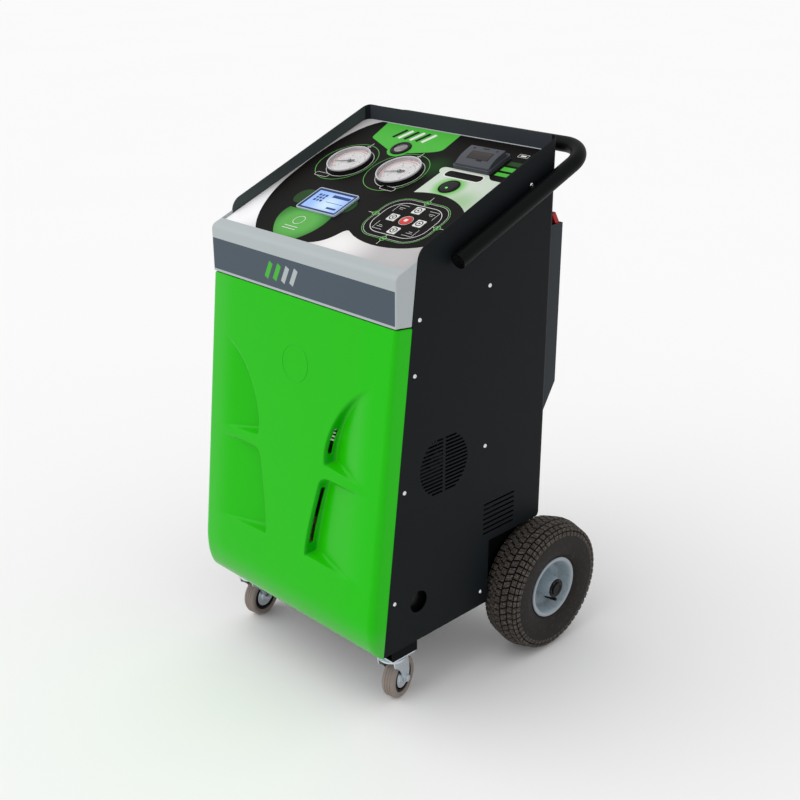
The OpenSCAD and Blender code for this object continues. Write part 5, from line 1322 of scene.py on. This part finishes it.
# Rims with their dish, flared hub and air valve
RIM_OUTLINE = [(10.1, 36), (18.2, 36), (19, 35.2), (20.4, 30), (24, 13), (26.6, 8.2), (30, 6.2), (34, 5.6),
               (39, 6), (42, 7.4), (44, 10), (50.2, 26.6), (51.6, 29), (53.6, 31), (56.4, 32.2),
               (58.8, 32.2), (60.2, 31.4), (60.5, 30.4), (60.3, 29.4), (59, 28.8), (53.5, 27),
               (53.5, 20), (46.5, 14), (46.5, -14), (53.5, -20), (53.5, -27), (59, -28.8),
               (60.4, -29.6), (60.4, -31), (58.8, -32.2), (53.6, -31), (50.5, -28), (50.5, -21),
               (43.5, -15), (43.5, 2.5), (23, 2.5), (23, -48), (10.1, -48), (10.1, 36)]
# Painted highlight band over the rim's outer lip
RIM_LIP_HIGHLIGHT = [(53.8, 31.15), (56.4, 32.4), (58.8, 32.4), (60.3, 31.55), (60.6, 30.4), (59.6, 30.6),
           (56.4, 31.8), (53.8, 31.15)]
VALVE_R = 36
VALVE_TURN = 20
VALVE_OUT = 4
VALVE_STEM = [(0, 0), (5.4, 0), (5, 5), (4.3, 12), (4.1, 17.6), (3.2, 18.2), (3.2, 25), (2.9, 25.7),
              (0, 25.9)]


def wheel_side(side):
    """Middle of a rear wheel in metres, and the way it faces."""
    return Vector(joints["rear_wheel_%s_spin" % side]["pos_m"]), 1 if side == "right" else -1


def rim(side):
    at, outward = wheel_side(side)
    body = "rear_wheel_" + side
    place = along(at, (outward, 0, 0))
    piece("rim_%s_disc" % side, [lathe(RIM_OUTLINE, place, 96)], RIM_GREY, body=body,
          stands_for=["rim_" + side], crease=40)
    piece("rim_%s_lip" % side, [lathe(RIM_LIP_HIGHLIGHT, place, 96)], RIM_HIGHLIGHT, body=body, crease=50)
    turn = math.radians(VALVE_TURN)
    away = Vector((outward * VALVE_OUT, VALVE_R * math.sin(turn), -VALVE_R * math.cos(turn)))
    stem = lathe(VALVE_STEM, along(at + away * MM, (outward, 0, 0)), 24)
    piece("valve_%s_stem" % side, [stem], INK_BLACK, body=body)


# Axle caps with a ring of small dots
HUB_END = HUB_OUT + 0.3
CAP = [(0, 0), (18.5, 0), (18.5, 2.4), (17.9, 3), (13, 3), (13, 5.5), (12.5, 6), (9, 6), (8, 4.8), (0, 4.8)]
CAP_DOT = [(0, 2.9), (1.5, 2.9), (1.5, 3.03), (0, 3.05)]
CAP_DOTS = circle(0, 0, 15.7, 6)


def axle_caps():
    caps, dots = [], []
    for side in ("left", "right"):
        at, outward = wheel_side(side)
        place = along(at + Vector((outward * HUB_END * MM, 0, 0)), (outward, 0, 0))
        caps.append(lathe(CAP, place, 48))
        dots += [lathe(CAP_DOT, place @ moved(x, y), 16) for x, y in CAP_DOTS]
    piece("axle_cap_discs", caps, BLACK_PLASTIC, stands_for=["axle_caps"])
    piece("axle_cap_dots", dots, RUBBER_WORN)


# Casters: plate, fork, hub with zinc covers, ridged tread
PLATE_Z = 110
PLATE_T = 3
PLATE_SIZE = (67, 60)
PLATE_HOLES = [(sx * 22.5, sy * 20) for sx in (-1, 1) for sy in (-1, 1)]
NUT_Z = 103
NUT_H = 4
CROWN_LOW = 93.7
CROWN_TOP = 97.7
TRAIL = 22
LEG_IN = 15.5
FORK_T = 2.5
FORK_OUT = LEG_IN + FORK_T
WHEEL_R = CASTER_D / 2
RACE = [(6, 98), (19.4, 98), (20.4, 98.6), (24.8, 106), (25, 107.2), (6, 107.2), (6, 98)]
KINGPIN = [(0, 91.4), (9, 91.4), (9.5, 91.9), (9.5, 93.4), (6, 93.4), (6, 108), (0, 108)]
CROWN = [(6.3, CROWN_LOW), (26.4, CROWN_LOW), (27, CROWN_LOW + 0.6), (27, CROWN_TOP - 0.6),
         (26.4, CROWN_TOP), (6.3, CROWN_TOP), (6.3, CROWN_LOW)]
LEG = ([(-22, CROWN_TOP), (24, CROWN_TOP)] + bezier((24, CROWN_LOW), (30, 80), (34, 64), (33, 52), 6)
       + circle(TRAIL, WHEEL_R, 9, 10, 10, -190) + bezier((9, 52), (3, 66), (-8, 76), (-18, 81.7), 6)
       + [(-22, CROWN_LOW)])
BOLT = [(0, -FORK_OUT - 5), (6, -FORK_OUT - 5), (7, -FORK_OUT - 4), (7, -FORK_OUT), (4, -FORK_OUT),
        (4, FORK_OUT + 4.9), (3.4, FORK_OUT + 5), (0, FORK_OUT + 5)]
TREAD_HALF = [(39, 0.5), (40, 1), (40, 4), (39, 4.6), (39, 5.4), (40, 6), (39.6, 8.2), (38.4, 10.8),
              (36.4, 12.7), (34, 13.4), (32, 12.9), (29.02, 11.5)]
CASTER_TREAD = [(r, -x) for r, x in reversed(TREAD_HALF)] + TREAD_HALF + [(29.02, -11.5)]
CASTER_HUB = [(24, -10.5), (28.4, -10.5), (29, -9.9), (29, 9.9), (28.4, 10.5), (24.6, 10.5), (24, 9.9),
              (24, 4), (4.2, 4), (4.2, -4), (24, -4), (24, -10.5)]
HUB_COVER = [(4.2, 9.3), (4.2, 15), (11.4, 15), (12, 14.4), (12.2, 11.4), (13.6, 10.7), (18.8, 10.4),
             (20.2, 10.9), (21, 10.5), (21, 9.3), (4.2, 9.3)]


def caster_mount(place):
    """Plate with its holes and nuts, the bearing race and the kingpin, fixed to the cabinet."""
    outlines = [rounded(0, 0, *PLATE_SIZE, 6)] + [circle(x, y, 4.2, 24) for x, y in PLATE_HOLES]
    plate = flat(outlines, PLATE_T, place @ moved(0, 0, PLATE_Z - PLATE_T), 0.5, 2)
    nuts = [flat([circle(0, 0, 6.5, 6)], NUT_H, place @ moved(x, y, NUT_Z), 0.4) for x, y in PLATE_HOLES]
    return [plate, lathe(RACE, place, 64), lathe(KINGPIN, place, 32)] + nuts


def caster_fork(place, axle):
    """Crown, both legs and the bolt with its nut."""
    legs = [flat([LEG], FORK_T, place @ upright(x), 0.6, 2) for x in (LEG_IN, -FORK_OUT)]
    nut = flat([circle(0, 0, 7, 6)], NUT_H, axle @ moved(0, 0, FORK_OUT), 0.5)
    return [lathe(CROWN, place, 64)] + legs + [lathe(BOLT, axle, 32), nut]


def caster(side):
    swivel = Vector(joints["caster_%s_swivel" % side]["pos_m"]) / MM
    spin = Vector(joints["caster_%s_spin" % side]["axis"])
    turn = math.atan2(spin.y, spin.x) if spin.x > 0 else math.atan2(-spin.y, -spin.x)
    fixed = plain(swivel.x, swivel.y, 0)
    place = fixed @ Matrix.Rotation(turn, 4, "Z")
    axle = place @ moved(0, TRAIL, WHEEL_R) @ turned(90, "Y")
    body = "caster_wheel_" + side
    piece("caster_%s_fork" % side, caster_fork(place, axle), ZINC, body="caster_fork_" + side,
          stands_for=["fork_" + side])
    piece("caster_%s_tread" % side, [lathe(CASTER_TREAD, axle, 96)], TREAD_GREY, body=body,
          stands_for=["caster_tyre_" + side])
    piece("caster_%s_hub" % side, [lathe(CASTER_HUB, axle, 72)], BLACK_PLASTIC, body=body,
          stands_for=["caster_hub_" + side])
    covers = [lathe([(r, s * z) for r, z in HUB_COVER], axle, 72) for s in (-1, 1)]
    piece("caster_%s_covers" % side, covers, ZINC, body=body)
    return caster_mount(fixed)


def casters():
    mounts = caster("left") + caster("right")
    piece("caster_mounts", mounts, ZINC, stands_for=["caster_plates"])


# Domed panel screws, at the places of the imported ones
SCREW_HEAD = [(0, 1.0), (1.2, 1.0), (1.3, 1.9), (1.9, 1.85), (2.9, 1.4), (3.6, 0.8), (4, 0), (0, 0)]
SCREW_SHANK = [(0, -4), (2.3, -4), (2.3, 0.1), (0, 0.1)]
SCREW_NEAR = 40 * MM


def screw_spots():
    """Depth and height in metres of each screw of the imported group, with the way its head faces."""
    groups = []
    for vert in nodes["panel_screws"].data.vertices:
        near = [group for group in groups if (group[0] - vert.co).length < SCREW_NEAR]
        if near:
            near[0].append(vert.co.copy())
        else:
            groups.append([vert.co.copy()])
    spots = []
    for group in groups:
        y, z = ((min(p[i] for p in group) + max(p[i] for p in group)) / 2 for i in (1, 2))
        spots.append((y, z, 1 if group[0].x > 0 else -1))
    return spots


def screws():
    heads = []
    for y, z, outward in screw_spots():
        place = along((outward * HALF * MM, y, z), (outward, 0, 0))
        heads += [lathe(SCREW_HEAD, place, 24), lathe(SCREW_SHANK, place, 16)]
    piece("screw_heads", heads, BRIGHT, stands_for=["panel_screws"])


stage()
camera()
front_cover()
fascia()
panel_film()
panel_lines()
gauges()
display()
sight_glass()
keys()
printer()
for side in ("left", "right"):
    tyre(side)
    rim(side)
axle_caps()
casters()
screws()
